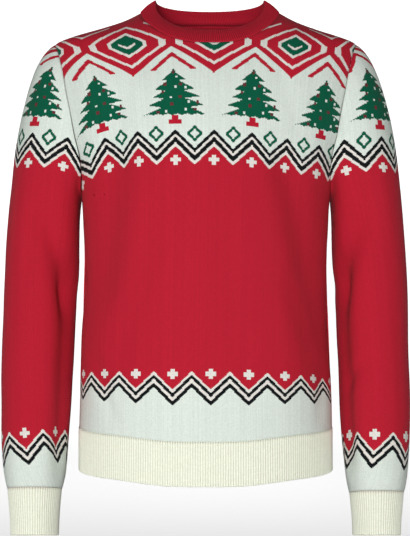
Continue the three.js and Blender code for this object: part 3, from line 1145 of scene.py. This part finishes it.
@dataclass
class NeckBand:
    """The ribbed collar, which stands on the neckline and leans in to the neck."""

    torso: TorsoForm
    ribbing: Ribbing
    edge_side: float = 77.0
    edge_front: float = 61.5
    edge_back: float = 52.0
    edge_power: float = 2.3
    side_height: float = 18.0
    front_height: float = -36.0
    back_height: float = 13.0
    width: float = 31.0
    bow: float = 1.6
    foot_share: float = 0.35  # share of the width over which it turns up from the shoulders
    chain_points: int = 241

    def seam_chain(self, face: Face) -> np.ndarray:
        """The neckline on one face, from the wearer's right to the left in front, and back behind.

        Args:
            face: the face of the body.

        Returns:
            A row of points.
        """
        share = np.linspace(-1, 1, self.chain_points) * -face.value
        return self.torso.point(face, share, self.torso.neckline(face, share))[0]

    def edge_chain(self, face: Face) -> np.ndarray:
        """The free edge on one face, in the same order.

        Args:
            face: the face of the body.

        Returns:
            A row of points.
        """
        angle = np.linspace(-math.pi / 2, math.pi / 2, self.chain_points)
        reach, far = self.edge_front, self.front_height
        if face is Face.BACK:
            reach, far = self.edge_back, self.back_height
        x = self.edge_side * rounded(np.sin(angle), self.edge_power)
        y = reach * np.maximum(np.cos(angle), 0) ** (2 / self.edge_power)
        z = self.side_height + (far - self.side_height) * y / reach
        return np.stack([-face.value * x, face.value * y, z], axis=-1)

    def pick(self, chains: dict[Face, np.ndarray], around: np.ndarray) -> np.ndarray:
        """Points of a front and a back chain, in step with their lengths.

        Args:
            chains: the chain of each face.
            around: place round the neck, from 0 at the wearer's right.

        Returns:
            One point for each.
        """
        around = around % 1.0
        picked = []
        for face, begin in ((Face.FRONT, 0), (Face.BACK, 1)):
            share = np.clip(2 * around - begin, 0, 1)
            chain = chains[face]
            lengths = run_lengths(chain, axis=0)
            axes = [np.interp(share, lengths / lengths[-1], chain[:, axis]) for axis in range(3)]
            picked.append(np.stack(axes, axis=-1))
        return np.where((around < 0.5)[..., None], picked[0], picked[1])

    def base(self, around: np.ndarray, along: np.ndarray) -> tuple[np.ndarray, np.ndarray]:
        """Points and outward directions of the collar.

        Args:
            around: place round the neck.
            along: length from the seam towards the free edge.

        Returns:
            The points and the directions.
        """
        seams = {face: self.seam_chain(face) for face in Face}
        edges = {face: self.edge_chain(face) for face in Face}
        ring = around[0]
        seam = self.pick(seams, ring)
        edge = self.pick(edges, ring)
        step = self.pick(seams, ring + RING_BIT) - self.pick(seams, ring - RING_BIT)
        foot = self.torso.normal(seam)
        seam = seam + unit(np.cross(foot, step)) * SEAM
        band = unit(np.cross(step, edge - seam))
        up = along[..., None] / self.width
        blend = smooth(up / self.foot_share)
        normals = unit(foot * (1 - blend) + band * blend)
        points = seam + (edge - seam) * up + band * 4 * self.bow * up * (1 - up)
        return points + np.array([self.torso.neck_shift, 0, 0]), normals

    def build(self, name: str, material: bpy.types.Material) -> bpy.types.Object:
        """Makes the collar, named and finished as given."""
        return self.ribbing.build(name, self.base, self.width, material, False)


class Wire:
    """A value in a node tree, which sums, products and comparisons build on."""

    def __init__(self, tree: bpy.types.NodeTree, source: bpy.types.NodeSocket) -> None:
        """Keeps the tree and the socket that the value comes from."""
        self.tree = tree
        self.source = source

    def chain(self, operation: str, *values: "Wire | float") -> "Wire":
        """Adds one Math node.

        Args:
            operation: the node's operation.
            values: its inputs in order.

        Returns:
            Its result.
        """
        node = self.tree.nodes.new("ShaderNodeMath")
        node.operation = operation
        for socket, value in zip(node.inputs, values):
            if isinstance(value, Wire):
                self.tree.links.new(value.source, socket)
            else:
                socket.default_value = value
        return Wire(self.tree, node.outputs[0])

    def __add__(self, other: "Wire | float") -> "Wire":
        """The sum."""
        return self.chain("ADD", self, other)

    def __sub__(self, other: "Wire | float") -> "Wire":
        """The difference."""
        return self.chain("SUBTRACT", self, other)

    def __rsub__(self, other: float) -> "Wire":
        """A number less this value."""
        return self.chain("SUBTRACT", other, self)

    def __mul__(self, other: "Wire | float") -> "Wire":
        """The product."""
        return self.chain("MULTIPLY", self, other)

    def __neg__(self) -> "Wire":
        """The value with its sign changed."""
        return self.chain("MULTIPLY", self, -1.0)

    def __abs__(self) -> "Wire":
        """The size of the value."""
        return self.chain("ABSOLUTE", self)

    def above(self, other: "Wire | float") -> "Wire":
        """1 where the value is larger, and 0 elsewhere."""
        return self.chain("GREATER_THAN", self, other)

    def below(self, other: "Wire | float") -> "Wire":
        """1 where the value is smaller, and 0 elsewhere."""
        return self.chain("LESS_THAN", self, other)

    def between(self, low: "Wire | float", high: "Wire | float") -> "Wire":
        """1 where the value lies between two others, and 0 elsewhere."""
        return self.above(low) * self.below(high)

    def floor(self) -> "Wire":
        """The whole number below."""
        return self.chain("FLOOR", self)

    def fraction(self) -> "Wire":
        """What is left above the whole number below."""
        return self.chain("FRACT", self)

    def sine(self) -> "Wire":
        """The sine, in radians."""
        return self.chain("SINE", self)

    def power(self, exponent: float) -> "Wire":
        """The value to a power."""
        return self.chain("POWER", self, exponent)

    def larger(self, other: "Wire | float") -> "Wire":
        """The larger of two values."""
        return self.chain("MAXIMUM", self, other)

    def fold(self, reach: float) -> "Wire":
        """Distance from the nearest even multiple of a reach, which rises to the reach and falls again."""
        return self.chain("PINGPONG", self, reach)

    def wrap(self, low: float, high: float) -> "Wire":
        """The value carried into a range by whole ranges."""
        return self.chain("WRAP", self, high, low)


class Painter:
    """Lays colours over each other in a node tree, each where its mask is 1."""

    def __init__(self, tree: bpy.types.NodeTree, ground: Colour) -> None:
        """Starts from a ground colour or a socket that gives one."""
        self.tree = tree
        self.now = ground

    def lay(self, mask: Wire | float, colour: Colour, mode: str = "MIX") -> None:
        """Adds one Mix node.

        Args:
            mask: how far the colour covers what is there.
            colour: the colour or the socket that gives it.
            mode: how the two are blended.
        """
        node = self.tree.nodes.new("ShaderNodeMix")
        node.data_type = "RGBA"
        node.blend_type = mode
        factor, first, second = node.inputs[0], node.inputs[6], node.inputs[7]
        for socket, value in ((factor, mask), (first, self.now), (second, colour)):
            if isinstance(value, Wire):
                self.tree.links.new(value.source, socket)
            elif isinstance(value, bpy.types.NodeSocket):
                self.tree.links.new(value, socket)
            else:
                socket.default_value = value
        self.now = node.outputs[2]

    def tone(self, tone: Wire) -> None:
        """Darkens what is there to a share of its light.

        Args:
            tone: the share, from 0 to 1.
        """
        grey = self.tree.nodes.new("ShaderNodeCombineColor")
        for socket in grey.inputs:
            self.tree.links.new(tone.source, socket)
        self.lay(1.0, grey.outputs[0], "MULTIPLY")


class YarnMaterial:
    """A material of yarn under work, which reads the piece's place in the knitting."""

    def __init__(self, name: str) -> None:
        """Makes the material and the two values of its place across and up.

        Args:
            name: the material's name.
        """
        self.made = bpy.data.materials.new(name)
        self.made.use_nodes = True
        self.tree = self.made.node_tree
        self.shader = self.tree.nodes["Principled BSDF"]
        place = self.tree.nodes.new("ShaderNodeUVMap")
        place.uv_map = KNIT_MAP
        split = self.tree.nodes.new("ShaderNodeSeparateXYZ")
        self.tree.links.new(place.outputs[0], split.inputs[0])
        self.across, self.up = Wire(self.tree, split.outputs[0]), Wire(self.tree, split.outputs[1])

    def raise_relief(self, height: Wire, strength: float, depth: float) -> None:
        """Makes the yarn catch the light as if it stood up.

        Args:
            height: how far each place stands up, from 0 to 1.
            strength: how strongly it shows.
            depth: how far 1 stands up, in millimetres.
        """
        bump = self.tree.nodes.new("ShaderNodeBump")
        bump.inputs["Strength"].default_value = strength
        bump.inputs["Distance"].default_value = depth * MM
        self.tree.links.new(height.source, bump.inputs["Height"])
        self.tree.links.new(bump.outputs[0], self.shader.inputs["Normal"])

    def dress(self, painter: Painter, sheen: float = 0.02) -> bpy.types.Material:
        """Gives the shader its colour and the dull gloss of yarn.

        Args:
            painter: holds the colour.
            sheen: how strongly the nap catches light.

        Returns:
            The finished material.
        """
        self.tree.links.new(painter.now, self.shader.inputs["Base Color"])
        self.shader.inputs["Roughness"].default_value = 0.9
        self.shader.inputs["Specular IOR Level"].default_value = 0.15
        self.shader.inputs["Sheen Weight"].default_value = sheen
        self.shader.inputs["Sheen Roughness"].default_value = 0.5
        return self.made


@dataclass(frozen=True)
class Gauge:
    """Size of one stitch."""

    wale: float = 1.45
    course: float = 1.2
    slant: float = 0.55  # how far a stitch's two legs rise from its middle, in courses


@dataclass(frozen=True)
class TreeChart:
    """A fir in five tiers of branches, with baubles, lights and a stand, in millimetres below its top."""

    top: float = 88.5  # up from the tops of the chest zigzag
    spread: float = 42.0
    foliage: float = 69.0
    trunk: float = 4.4
    trunk_end: float = 75.0
    stand: float = 9.0
    stand_end: float = 80.5
    scallop: float = 6.5  # half the distance between two hollows under the lowest branches
    scallop_shift: float = 3.0
    scallop_slope: float = 0.3
    berry: float = 2.1  # half a bauble's side
    light: float = 1.5
    tiers: tuple[tuple[float, float, float], ...] = (
        # height, half-width on the left, half-width on the right
        (0, 0, 0),
        (8, 3.5, 4),
        (18, 15, 16),
        (19.5, 7, 7),
        (32, 25, 28),
        (34.5, 11.5, 14),
        (43, 28, 34),
        (45.5, 14, 15),
        (55, 35, 39),
        (58, 17, 20),
        (68.5, 42, 42),
        (69, 40, 40),
    )
    berries: tuple[tuple[float, float], ...] = (
        (0, 6.5), (-11, 24.5), (9.5, 25), (-14.5, 36), (8.5, 43),
        (30.5, 51), (-3.5, 53.5), (27, 61), (-23, 64.5),
    )
    lights: tuple[tuple[float, float], ...] = (
        (5, 14), (2.5, 28.5), (15.5, 30), (-4, 43.5), (-19, 47.5), (19.5, 50.5), (14.5, 61), (-12, 63.5),
    )


@dataclass(frozen=True)
class ZigzagChart:
    """The zigzags of the chest, hem and cuffs, with their diamonds and crosses.

    Each row of a band table has how far under the zigzag's edge a yarn begins, and the yarn, in the order
    in which they cover each other. The chest zigzag covers upwards and the lower one downwards.
    """

    slope: float = 0.97
    bands: tuple[tuple[float, Yarn], ...] = (
        (22.4, Yarn.WHITE),
        (17.4, Yarn.BLACK),
        (10.1, Yarn.WHITE),
        (5.8, Yarn.BLACK),
        (0.0, Yarn.MINT),
    )
    diamond_drop: float = 5.6
    diamond_hole: float = 6.2
    diamond_tip: float = 11.3
    cross_drop: float = 40.8
    lower_slope: float = 0.94
    lower_bands: tuple[tuple[float, Yarn], ...] = (
        (0.0, Yarn.WHITE),
        (4.0, Yarn.BLACK),
        (9.8, Yarn.WHITE),
        (15.0, Yarn.BLACK),
        (21.4, Yarn.MINT),
    )
    lower_cross_drop: float = 3.6
    bar: float = 2.6  # half the thickness of a cross's bars
    bar_up: float = 6.8  # half the length of the upright bar
    bar_across: float = 7.4  # half the length of the level bar


@dataclass(frozen=True)
class MedallionChart:
    """The medallions of the yoke with the chevrons and arrowheads between them.

    level is the height of their middles over the tops of the chest zigzag. A reach is a length up plus a
    sloped length across, so that an even reach makes a diamond, and the widths cut its tips off.
    """

    level: float = 131.0
    slope: float = 0.755
    tip_slope: float = 0.85
    tip: float = 51.5
    arrow_slope: float = 0.93
    arrow_inside: float = 65.8
    arrow_outside: float = 72.8
    arrow_foot: float = 86.0
    chevron_inside: float = 57.5
    chevron_outside: float = 61.2
    chevron_start: float = 21.0
    rings: tuple[tuple[float, float, Yarn], ...] = (
        # reach, half-width, yarn
        (38.9, 47.0, Yarn.WHITE),
        (34.2, 37.2, Yarn.RED),
        (22.0, 22.7, Yarn.WHITE),
        (17.6, 18.2, Yarn.GREEN),
    )
    tick_drop: float = 6.3
    tick: float = 1.9
    tick_reach: float = 9.5


@dataclass(frozen=True)
class JacquardFinish:
    """Patterned jersey: stitches, their colours, painted shade between them, and their relief."""

    name: str
    lower_drop: float = 320.8
    gauge: Gauge = Gauge()
    tree: TreeChart = TreeChart()
    zigzag: ZigzagChart = ZigzagChart()
    medallion: MedallionChart = MedallionChart()
    repeat: float = 52.2  # one zigzag, half the distance between two trees
    speck: float = 0.10  # how far single stitches differ in light
    streak: float = 0.07  # the same for whole wales
    darkest: float = 0.86
    groove_power: float = 0.35
    groove_shade: float = 0.16  # painted shade between two wales
    end_power: float = 0.4
    end: float = 0.08  # painted shade between two courses
    end_start: float = 0.93
    relief_power: float = 0.6
    relief_course: float = 0.45

    def material(self) -> bpy.types.Material:
        """Makes the finish.

        Returns:
            The material.
        """
        yarn = YarnMaterial(self.name)
        gauge = self.gauge
        wale, course = yarn.across * (1 / gauge.wale), yarn.up * (1 / gauge.course)
        leg = abs(wale.fraction() - 0.5) * 2.0
        lifted = course - leg * gauge.slant
        column, row = wale.floor(), lifted.floor()
        middle_up = (row + 0.5 + gauge.slant / 2) * gauge.course
        painter = self.paint((column + 0.5) * gauge.wale, middle_up, yarn.tree)
        self.shade(painter, column, row, leg, lifted)
        along = (lifted.fraction() * math.pi).sine() * self.relief_course + (1 - self.relief_course)
        relief = (leg * math.pi).sine().power(self.relief_power) * along
        yarn.raise_relief(relief, strength=0.55, depth=0.35)
        return yarn.dress(painter)

    def paint(self, u: Wire, v: Wire, tree: bpy.types.NodeTree) -> Painter:
        """Charts the pattern.

        Args:
            u: place across, from the middle of the pattern.
            v: place up, from the tops of the chest zigzag.
            tree: the material's nodes.

        Returns:
            The painter with the pattern's colours.
        """
        painter = Painter(tree, Yarn.RED.linear)
        near_peak = u.fold(self.repeat / 2)
        self.chest(painter, u, v, near_peak)
        self.lower(painter, v, near_peak)
        return painter

    def chest(self, painter: Painter, u: Wire, v: Wire, near_peak: Wire) -> None:
        """Charts the yoke: medallions, chevrons, firs, diamonds, the zigzag and the crosses under it.

        Args:
            painter: holds the colours so far.
            u: place across, from the middle of the pattern.
            v: place up, from the tops of the chest zigzag.
            near_peak: distance across from the nearest peak.
        """
        chart = self.zigzag
        depth = -v - near_peak * chart.slope
        for edge, yarn in chart.bands:
            painter.lay(depth.below(edge), yarn.linear)
        ring = (self.repeat / 2 - near_peak) + abs(v + chart.diamond_drop)
        painter.lay(ring.between(chart.diamond_hole, chart.diamond_tip), Yarn.GREEN.linear)
        self.cross(painter, near_peak, v + chart.cross_drop)
        self.fir(painter, (u - self.repeat).wrap(-self.repeat, self.repeat), self.tree.top - v)
        self.medallions(painter, u, v)

    def cross(self, painter: Painter, across: Wire, up: Wire) -> None:
        """Charts a row of small crosses.

        Args:
            painter: holds the colours so far.
            across: distance across from the nearest cross's middle.
            up: place up from their middles.
        """
        chart = self.zigzag
        up = abs(up)
        upright = across.below(chart.bar) * up.below(chart.bar_up)
        level = across.below(chart.bar_across) * up.below(chart.bar)
        painter.lay(upright.larger(level), Yarn.WHITE.linear)

    def fir(self, painter: Painter, across: Wire, down: Wire) -> None:
        """Charts a row of firs.

        Args:
            painter: holds the colours so far.
            across: place across from each fir's middle.
            down: place down from the firs' tops.
        """
        chart = self.tree
        ramp = painter.tree.nodes.new("ShaderNodeValToRGB")
        ramp.color_ramp.interpolation = "LINEAR"
        stops = ramp.color_ramp.elements
        stops.remove(stops[1])
        for index, (height, left, right) in enumerate(chart.tiers):
            stop = stops[0] if index == 0 else stops.new(height / chart.foliage)
            stop.position = height / chart.foliage
            stop.color = (left / chart.spread, right / chart.spread, 0, 1)
        painter.tree.links.new((down * (1 / chart.foliage)).source, ramp.inputs[0])
        split = painter.tree.nodes.new("ShaderNodeSeparateColor")
        painter.tree.links.new(ramp.outputs[0], split.inputs[0])
        left, right = Wire(painter.tree, split.outputs[0]), Wire(painter.tree, split.outputs[1])
        inside = (-across).below(left * chart.spread) * across.below(right * chart.spread)
        scallop = chart.foliage - (across + chart.scallop_shift).fold(chart.scallop) * chart.scallop_slope
        foliage = inside * down.above(0.0) * down.below(scallop)
        trunk = abs(across).below(chart.trunk) * down.between(chart.foliage, chart.stand_end)
        stand = abs(across).below(chart.stand) * down.between(chart.trunk_end, chart.stand_end)
        painter.lay(trunk.larger(stand), Yarn.RED.linear)
        painter.lay(foliage, Yarn.GREEN.linear)
        kinds = ((chart.berries, Yarn.BERRY, chart.berry), (chart.lights, Yarn.MINT, chart.light))
        for spots, yarn, size in kinds:
            mask = None
            for aside, below in spots:
                spot = abs(across - aside).larger(abs(down - below)).below(size)
                mask = spot if mask is None else mask.larger(spot)
            painter.lay(mask, yarn.linear)

    def medallions(self, painter: Painter, u: Wire, v: Wire) -> None:
        """Charts the medallions of the yoke and the chevrons between them.

        Args:
            painter: holds the colours so far.
            u: place across, from the middle of the pattern.
            v: place up, from the tops of the chest zigzag.
        """
        chart = self.medallion
        across = u.fold(self.repeat)
        up = v - chart.level
        reach = abs(up) + across * chart.slope
        ground = (abs(up) + across * chart.tip_slope).below(chart.tip)
        painter.lay(up.above(0.0).larger(ground), Yarn.RED.linear)
        arrow = (abs(up) + across * chart.arrow_slope).between(chart.arrow_inside, chart.arrow_outside)
        painter.lay(arrow * v.above(chart.arrow_foot) * up.below(0.0), Yarn.RED.linear)
        chevron = reach.between(chart.chevron_inside, chart.chevron_outside)
        painter.lay(chevron * across.above(chart.chevron_start) * up.above(0.0), Yarn.WHITE.linear)
        for size, width, yarn in chart.rings:
            painter.lay(reach.below(size) * across.below(width), yarn.linear)
        tick = abs(up + chart.tick_drop - across * chart.slope).below(chart.tick)
        painter.lay(tick * across.below(chart.tick_reach), Yarn.WHITE.linear)

    def lower(self, painter: Painter, v: Wire, near_peak: Wire) -> None:
        """Charts the lower zigzag, with crosses above it and pale ground below.

        Args:
            painter: holds the colours so far.
            v: place up, from the tops of the chest zigzag.
            near_peak: distance across from the nearest peak.
        """
        chart = self.zigzag
        level = v + self.lower_drop
        depth = -level - (self.repeat / 2 - near_peak) * chart.lower_slope
        for edge, yarn in chart.lower_bands:
            painter.lay(depth.above(edge), yarn.linear)
        self.cross(painter, near_peak, level + chart.lower_cross_drop)

    def shade(self, painter: Painter, column: Wire, row: Wire, leg: Wire, lifted: Wire) -> None:
        """Varies the colours from stitch to stitch at random and paints shade into the gaps between them.

        Args:
            painter: holds the pattern's colours.
            column: the stitch's wale.
            row: the stitch's course.
            leg: distance from the stitch's middle, 0 to 1.
            lifted: place along the stitch's legs.
        """
        speck = white_noise(painter.tree, column, row)
        streak = white_noise(painter.tree, column, None)
        light = speck * self.speck + streak * self.streak + self.darkest
        # painted shade between the wales and between the courses
        groove_shade = (leg * math.pi).sine().power(self.groove_power) * self.groove_shade + self.darkest
        ends = (lifted.fraction() * math.pi).sine().power(self.end_power) * self.end + self.end_start
        painter.tone(light * groove_shade * ends)


def white_noise(tree: bpy.types.NodeTree, across: Wire, up: Wire | None) -> Wire:
    """A fixed chance value for each pair of whole numbers.

    Args:
        tree: the material's nodes.
        across: the first number.
        up: the second number, or None for one value to a wale.

    Returns:
        A value from 0 to 1.
    """
    join = tree.nodes.new("ShaderNodeCombineXYZ")
    tree.links.new(across.source, join.inputs[0])
    if up is not None:
        tree.links.new(up.source, join.inputs[1])
    noise = tree.nodes.new("ShaderNodeTexWhiteNoise")
    noise.noise_dimensions = "3D"
    tree.links.new(join.outputs[0], noise.inputs[0])
    return Wire(tree, noise.outputs[0])


@dataclass(frozen=True)
class RibFinish:
    """Ribbed jersey in one yarn, with painted shade in its grooves and in the gaps where its ribs begin."""

    name: str
    yarn: Yarn
    # the colour of painted shade in the grooves between the ribs
    groove_shade: Yarn
    groove_share: float = 0.5
    start_gap_shade: float = 0.0  # how dark the painted shadow shows in the gaps where the ribs begin
    start_inside: float = 0.62  # share of a rib's half-width at which a gap begins
    start_length: float = 1.5
    course: float = 1.5
    groove_power: float = 3.0
    speck: float = 0.07  # how far single stitches differ in light
    darkest: float = 0.94

    def material(self) -> bpy.types.Material:
        """Makes the finish.

        Returns:
            The material.
        """
        ribbed = YarnMaterial(self.name)
        rib, along = ribbed.across, ribbed.up
        middle = abs(rib.fraction() - 0.5) * 2.0
        course = along * (1 / self.course) - middle * 0.5
        painter = Painter(ribbed.tree, self.yarn.linear)
        # painted shade in the grooves between the ribs
        painter.lay(middle.power(self.groove_power) * self.groove_share, self.groove_shade.linear)
        # painted shadow in the gaps where the ribs begin
        start_shade_mask = middle.above(self.start_inside) * along.below(self.start_length)
        painter.lay(start_shade_mask * self.start_gap_shade, Yarn.SHADOW.linear)
        painter.tone(white_noise(ribbed.tree, rib.floor(), course.floor()) * self.speck + self.darkest)
        relief = (course.fraction() * math.pi).sine() * 0.5 + (1.0 - middle.power(2.0)) * 0.5
        ribbed.raise_relief(relief, strength=0.4, depth=0.3)
        return ribbed.dress(painter)


@dataclass(frozen=True)
class ReverseFinish:
    """The inside of the jersey, where the yarns mix in fine specks."""

    name: str = "jersey_reverse"
    gauge: Gauge = Gauge()
    speck_share: float = 0.14  # share of the stitches that show a dark yarn
    speck_dark: float = 0.35
    sheen: float = 0.05

    def material(self) -> bpy.types.Material:
        """Makes the finish.

        Returns:
            The material.
        """
        reverse = YarnMaterial(self.name)
        column = (reverse.across * (1 / self.gauge.wale)).floor()
        row = (reverse.up * (1 / self.gauge.course)).floor()
        painter = Painter(reverse.tree, Yarn.RED.linear)
        specks = white_noise(reverse.tree, column, row).above(1 - self.speck_share)
        painter.lay(specks * self.speck_dark, Yarn.BLACK.linear)
        return reverse.dress(painter, self.sheen)


@dataclass(frozen=True)
class Lamp:
    """A large soft square light, with its place, what it points at, its side in metres and its watts."""

    name: str
    place: tuple[float, float, float]
    aim: tuple[float, float, float]
    size: float
    power: float

    def build(self) -> None:
        """Adds the light to the scene."""
        data = bpy.data.lights.new(self.name, "AREA")
        data.shape = "SQUARE"
        data.size = self.size
        data.energy = self.power
        made = bpy.data.objects.new(self.name, data)
        bpy.context.scene.collection.objects.link(made)
        made.location = self.place
        way = Vector(self.aim) - made.location
        made.rotation_euler = way.to_track_quat("-Z", "Y").to_euler()


@dataclass(frozen=True)
class Studio:
    """Camera, lights and backdrop, in metres."""

    lamps: tuple[Lamp, ...] = (
        Lamp("key", (-0.2, -2.9, -0.5), (0, 0, -0.36), 0.8, 78),
        Lamp("left box", (-2.2, -1.55, -0.75), (0, 0, -0.36), 0.7, 14),
        Lamp("right box", (2.2, -1.55, -0.75), (0, 0, -0.36), 0.7, 7),
        Lamp("wall", (0, 0.6, 1.0), (0, 1.6, 0.8), 1.6, 30),
    )
    distance: float = 1.7
    height: float = -0.362
    lens_pixels: float = 1197.2
    frame_height: int = 536
    sensor: float = 36.0
    centre_shift: float = 0.6
    floor: float = -0.86
    floor_before: float = 3.0
    floor_behind: float = 1.5
    bend: float = 1.2  # radius of the sweep between floor and wall
    spread: float = 9.0
    far_clip: float = 50.0
    backdrop_glow: float = 0.52
    world_light: float = 0.07

    def camera(self) -> None:
        """Places the camera level in front of the chest."""
        data = bpy.data.cameras.new("camera")
        data.sensor_fit = "VERTICAL"
        data.sensor_height = self.sensor
        data.lens = self.lens_pixels * self.sensor / self.frame_height
        data.shift_x = -self.centre_shift / self.frame_height
        data.clip_end = self.far_clip
        made = bpy.data.objects.new("camera", data)
        bpy.context.scene.collection.objects.link(made)
        made.location = (0, -self.distance, self.height)
        made.rotation_euler = (math.pi / 2, 0, 0)
        bpy.context.scene.camera = made

    def backdrop(self) -> None:
        """Makes a pale floor that sweeps up behind the object."""
        bm = bmesh.new()
        bmesh.ops.create_grid(bm, x_segments=2, y_segments=60, size=0.5)
        flat = self.floor_before + self.floor_behind
        for vert in bm.verts:
            run = (vert.co.y + 0.5) * self.spread
            angle = min(max(0.0, run - flat) / self.bend, math.pi / 2)
            rest = max(0.0, run - flat - self.bend * math.pi / 2)
            y = min(run, flat) - self.floor_before + self.bend * math.sin(angle)
            z = self.floor + self.bend * (1 - math.cos(angle)) + rest
            vert.co = (vert.co.x * self.spread, y, z)
        mesh = bpy.data.meshes.new("backdrop")
        bm.to_mesh(mesh)
        bm.free()
        mesh.shade_smooth()
        material = bpy.data.materials.new("backdrop")
        material.use_nodes = True
        shader = material.node_tree.nodes["Principled BSDF"]
        shader.inputs["Base Color"].default_value = (0.93, 0.93, 0.93, 1)
        shader.inputs["Roughness"].default_value = 0.9
        shader.inputs["Specular IOR Level"].default_value = 0.0
        shader.inputs["Emission Color"].default_value = (1, 1, 1, 1)
        shader.inputs["Emission Strength"].default_value = self.backdrop_glow
        mesh.materials.append(material)
        made = bpy.data.objects.new("backdrop", mesh)
        bpy.context.scene.collection.objects.link(made)
        made.visible_diffuse = False

    def build(self) -> None:
        """Sets the camera, the backdrop, the world's light and the lamps up."""
        self.camera()
        self.backdrop()
        world = bpy.data.worlds.new("studio")
        world.use_nodes = True
        world.node_tree.nodes["Background"].inputs[0].default_value = (1, 1, 1, 1)
        world.node_tree.nodes["Background"].inputs[1].default_value = self.world_light
        bpy.context.scene.world = world
        bpy.context.scene.view_settings.view_transform = "Standard"
        for lamp in self.lamps:
            lamp.build()


LEFT_FOLDS = (
    # round the arm from the outer side, a quarter in front, and height
    Crease((0.32, -312), (0.43, -392), 10, 21),
    Crease((0.43, -392), (0.43, -600), 8.5, 21),
    Crease((0.33, -498), (0.41, -520), 3.0, 12),
    Crease((0.20, -628), (0.34, -640), 2.0, 9),
    Crease((0.41, -130), (0.43, -236), 3, 12),
    Crease((0.80, -300), (0.60, -372), 4, 14),
    Crease((0.86, -425), (0.66, -470), 3.2, 13),
)
RIGHT_FOLDS = (
    Crease((0.30, -316), (0.41, -400), 9.5, 20),
    Crease((0.41, -400), (0.42, -600), 9, 22),
    Crease((0.24, -290), (0.22, -352), 2.0, 12),
    Crease((0.41, -130), (0.43, -236), 3, 12),
    Crease((0.82, -310), (0.62, -380), 4, 14),
    Crease((0.88, -440), (0.68, -480), 3.2, 13),
)
FRONT_FOLDS = (
    # across and up
    Crease((112, -235), (157, -435), 8.0, 22),
    Crease((118, -400), (150, -500), 2.5, 14),
    Crease((-124, -228), (-141, -370), 9.0, 25),
    Crease((-66, -300), (-112, -470), 3.0, 20),
    Crease((30, -330), (52, -520), 1.5, 20),
    Crease((-150, -490), (-128, -560), 2.5, 9),
    Crease((165, -500), (158, -560), 2.0, 9),
    Crease((-96, -95), (-128, -190), 1.6, 14),
    Crease((100, -95), (128, -190), 1.6, 14),
)
BACK_FOLDS = (
    Crease((104, -250), (150, -400), 4.5, 18),
    Crease((-108, -240), (-146, -420), 4.5, 18),
    Crease((-40, -480), (70, -520), 2.5, 18),
    Crease((50, -440), (-60, -470), 2.2, 18),
    Crease((-70, -110), (-126, -200), 2.2, 15),
    Crease((74, -105), (128, -195), 2.2, 15),
)


def main() -> None:
    """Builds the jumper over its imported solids, in order."""
    logging.basicConfig(level=logging.INFO, format="%(name)s %(message)s")
    Studio().build()
    torso = TorsoForm()
    arm = ArmForm(torso)
    jersey = JacquardFinish("jacquard_body").material()
    jersey_left = JacquardFinish("jacquard_left_sleeve", lower_drop=410.6).material()
    jersey_right = JacquardFinish("jacquard_right_sleeve", lower_drop=414.5).material()
    reverse = ReverseFinish().material()
    # the cream and red ribs get painted shade in their grooves
    cream = RibFinish("cream_rib", Yarn.CREAM, Yarn.SHADE, groove_share=0.8, start_gap_shade=0.2).material()
    red = RibFinish("red_rib", Yarn.RED, Yarn.RED_GROOVE_SHADE, groove_share=0.85).material()
    made = []

    front = BodyPanel(torso, Face.FRONT, creases=FRONT_FOLDS).build("front_jersey", [jersey, reverse])
    back = BodyPanel(torso, Face.BACK, creases=BACK_FOLDS).build("back_jersey", [jersey, reverse])
    made.append((front, "front_panel", "jacquard_knit", (0.50, 0.60), 0.262))
    made.append((back, "back_panel", "jacquard_knit", (0.50, 0.62), 0.274))
    sleeves = (
        ("left", Sleeve(arm, Side.LEFT, LEFT_HANG, LEFT_FOLDS), jersey_left),
        ("right", Sleeve(arm, Side.RIGHT, RIGHT_HANG, RIGHT_FOLDS), jersey_right),
    )
    for word, form, sleeve_jersey in sleeves:
        sleeve = form.build(f"{word}_sleeve_jersey", [sleeve_jersey, reverse])
        made.append((sleeve, f"sleeve_{word}", "jacquard_knit", (0.44, 0.66), 0.176))
        band = CuffBand(arm, form.side, Ribbing(CUFF_RIBS), form.hang.cuff_drop)
        cuff = band.build(f"{word}_cuff_ribbing", cream)
        made.append((cuff, f"cuff_rib_{word}", "cream_rib", (0.23, 0.068), 0.0156))
    for face, word in ((Face.FRONT, "front"), (Face.BACK, "back")):
        hem = HemBand(torso, face, Ribbing(HEM_RIBS)).build(f"{word}_hem_ribbing", cream)
        made.append((hem, f"hem_rib_{word}", "cream_rib", (0.49, 0.06), 0.0294))
    neck = NeckBand(torso, Ribbing(NECK_RIBS, steps_a_rib=4)).build("neck_ribbing", red)
    made.append((neck, "neck_rib", "red_rib", (0.50, 0.031), 0.0155))

    for piece, node, slot, flat, area in made:
        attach(piece, BODY)
        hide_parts(node)
        LOG.info("%s stands for %s", piece.name, node)


if __name__ == "__main__":
    main()
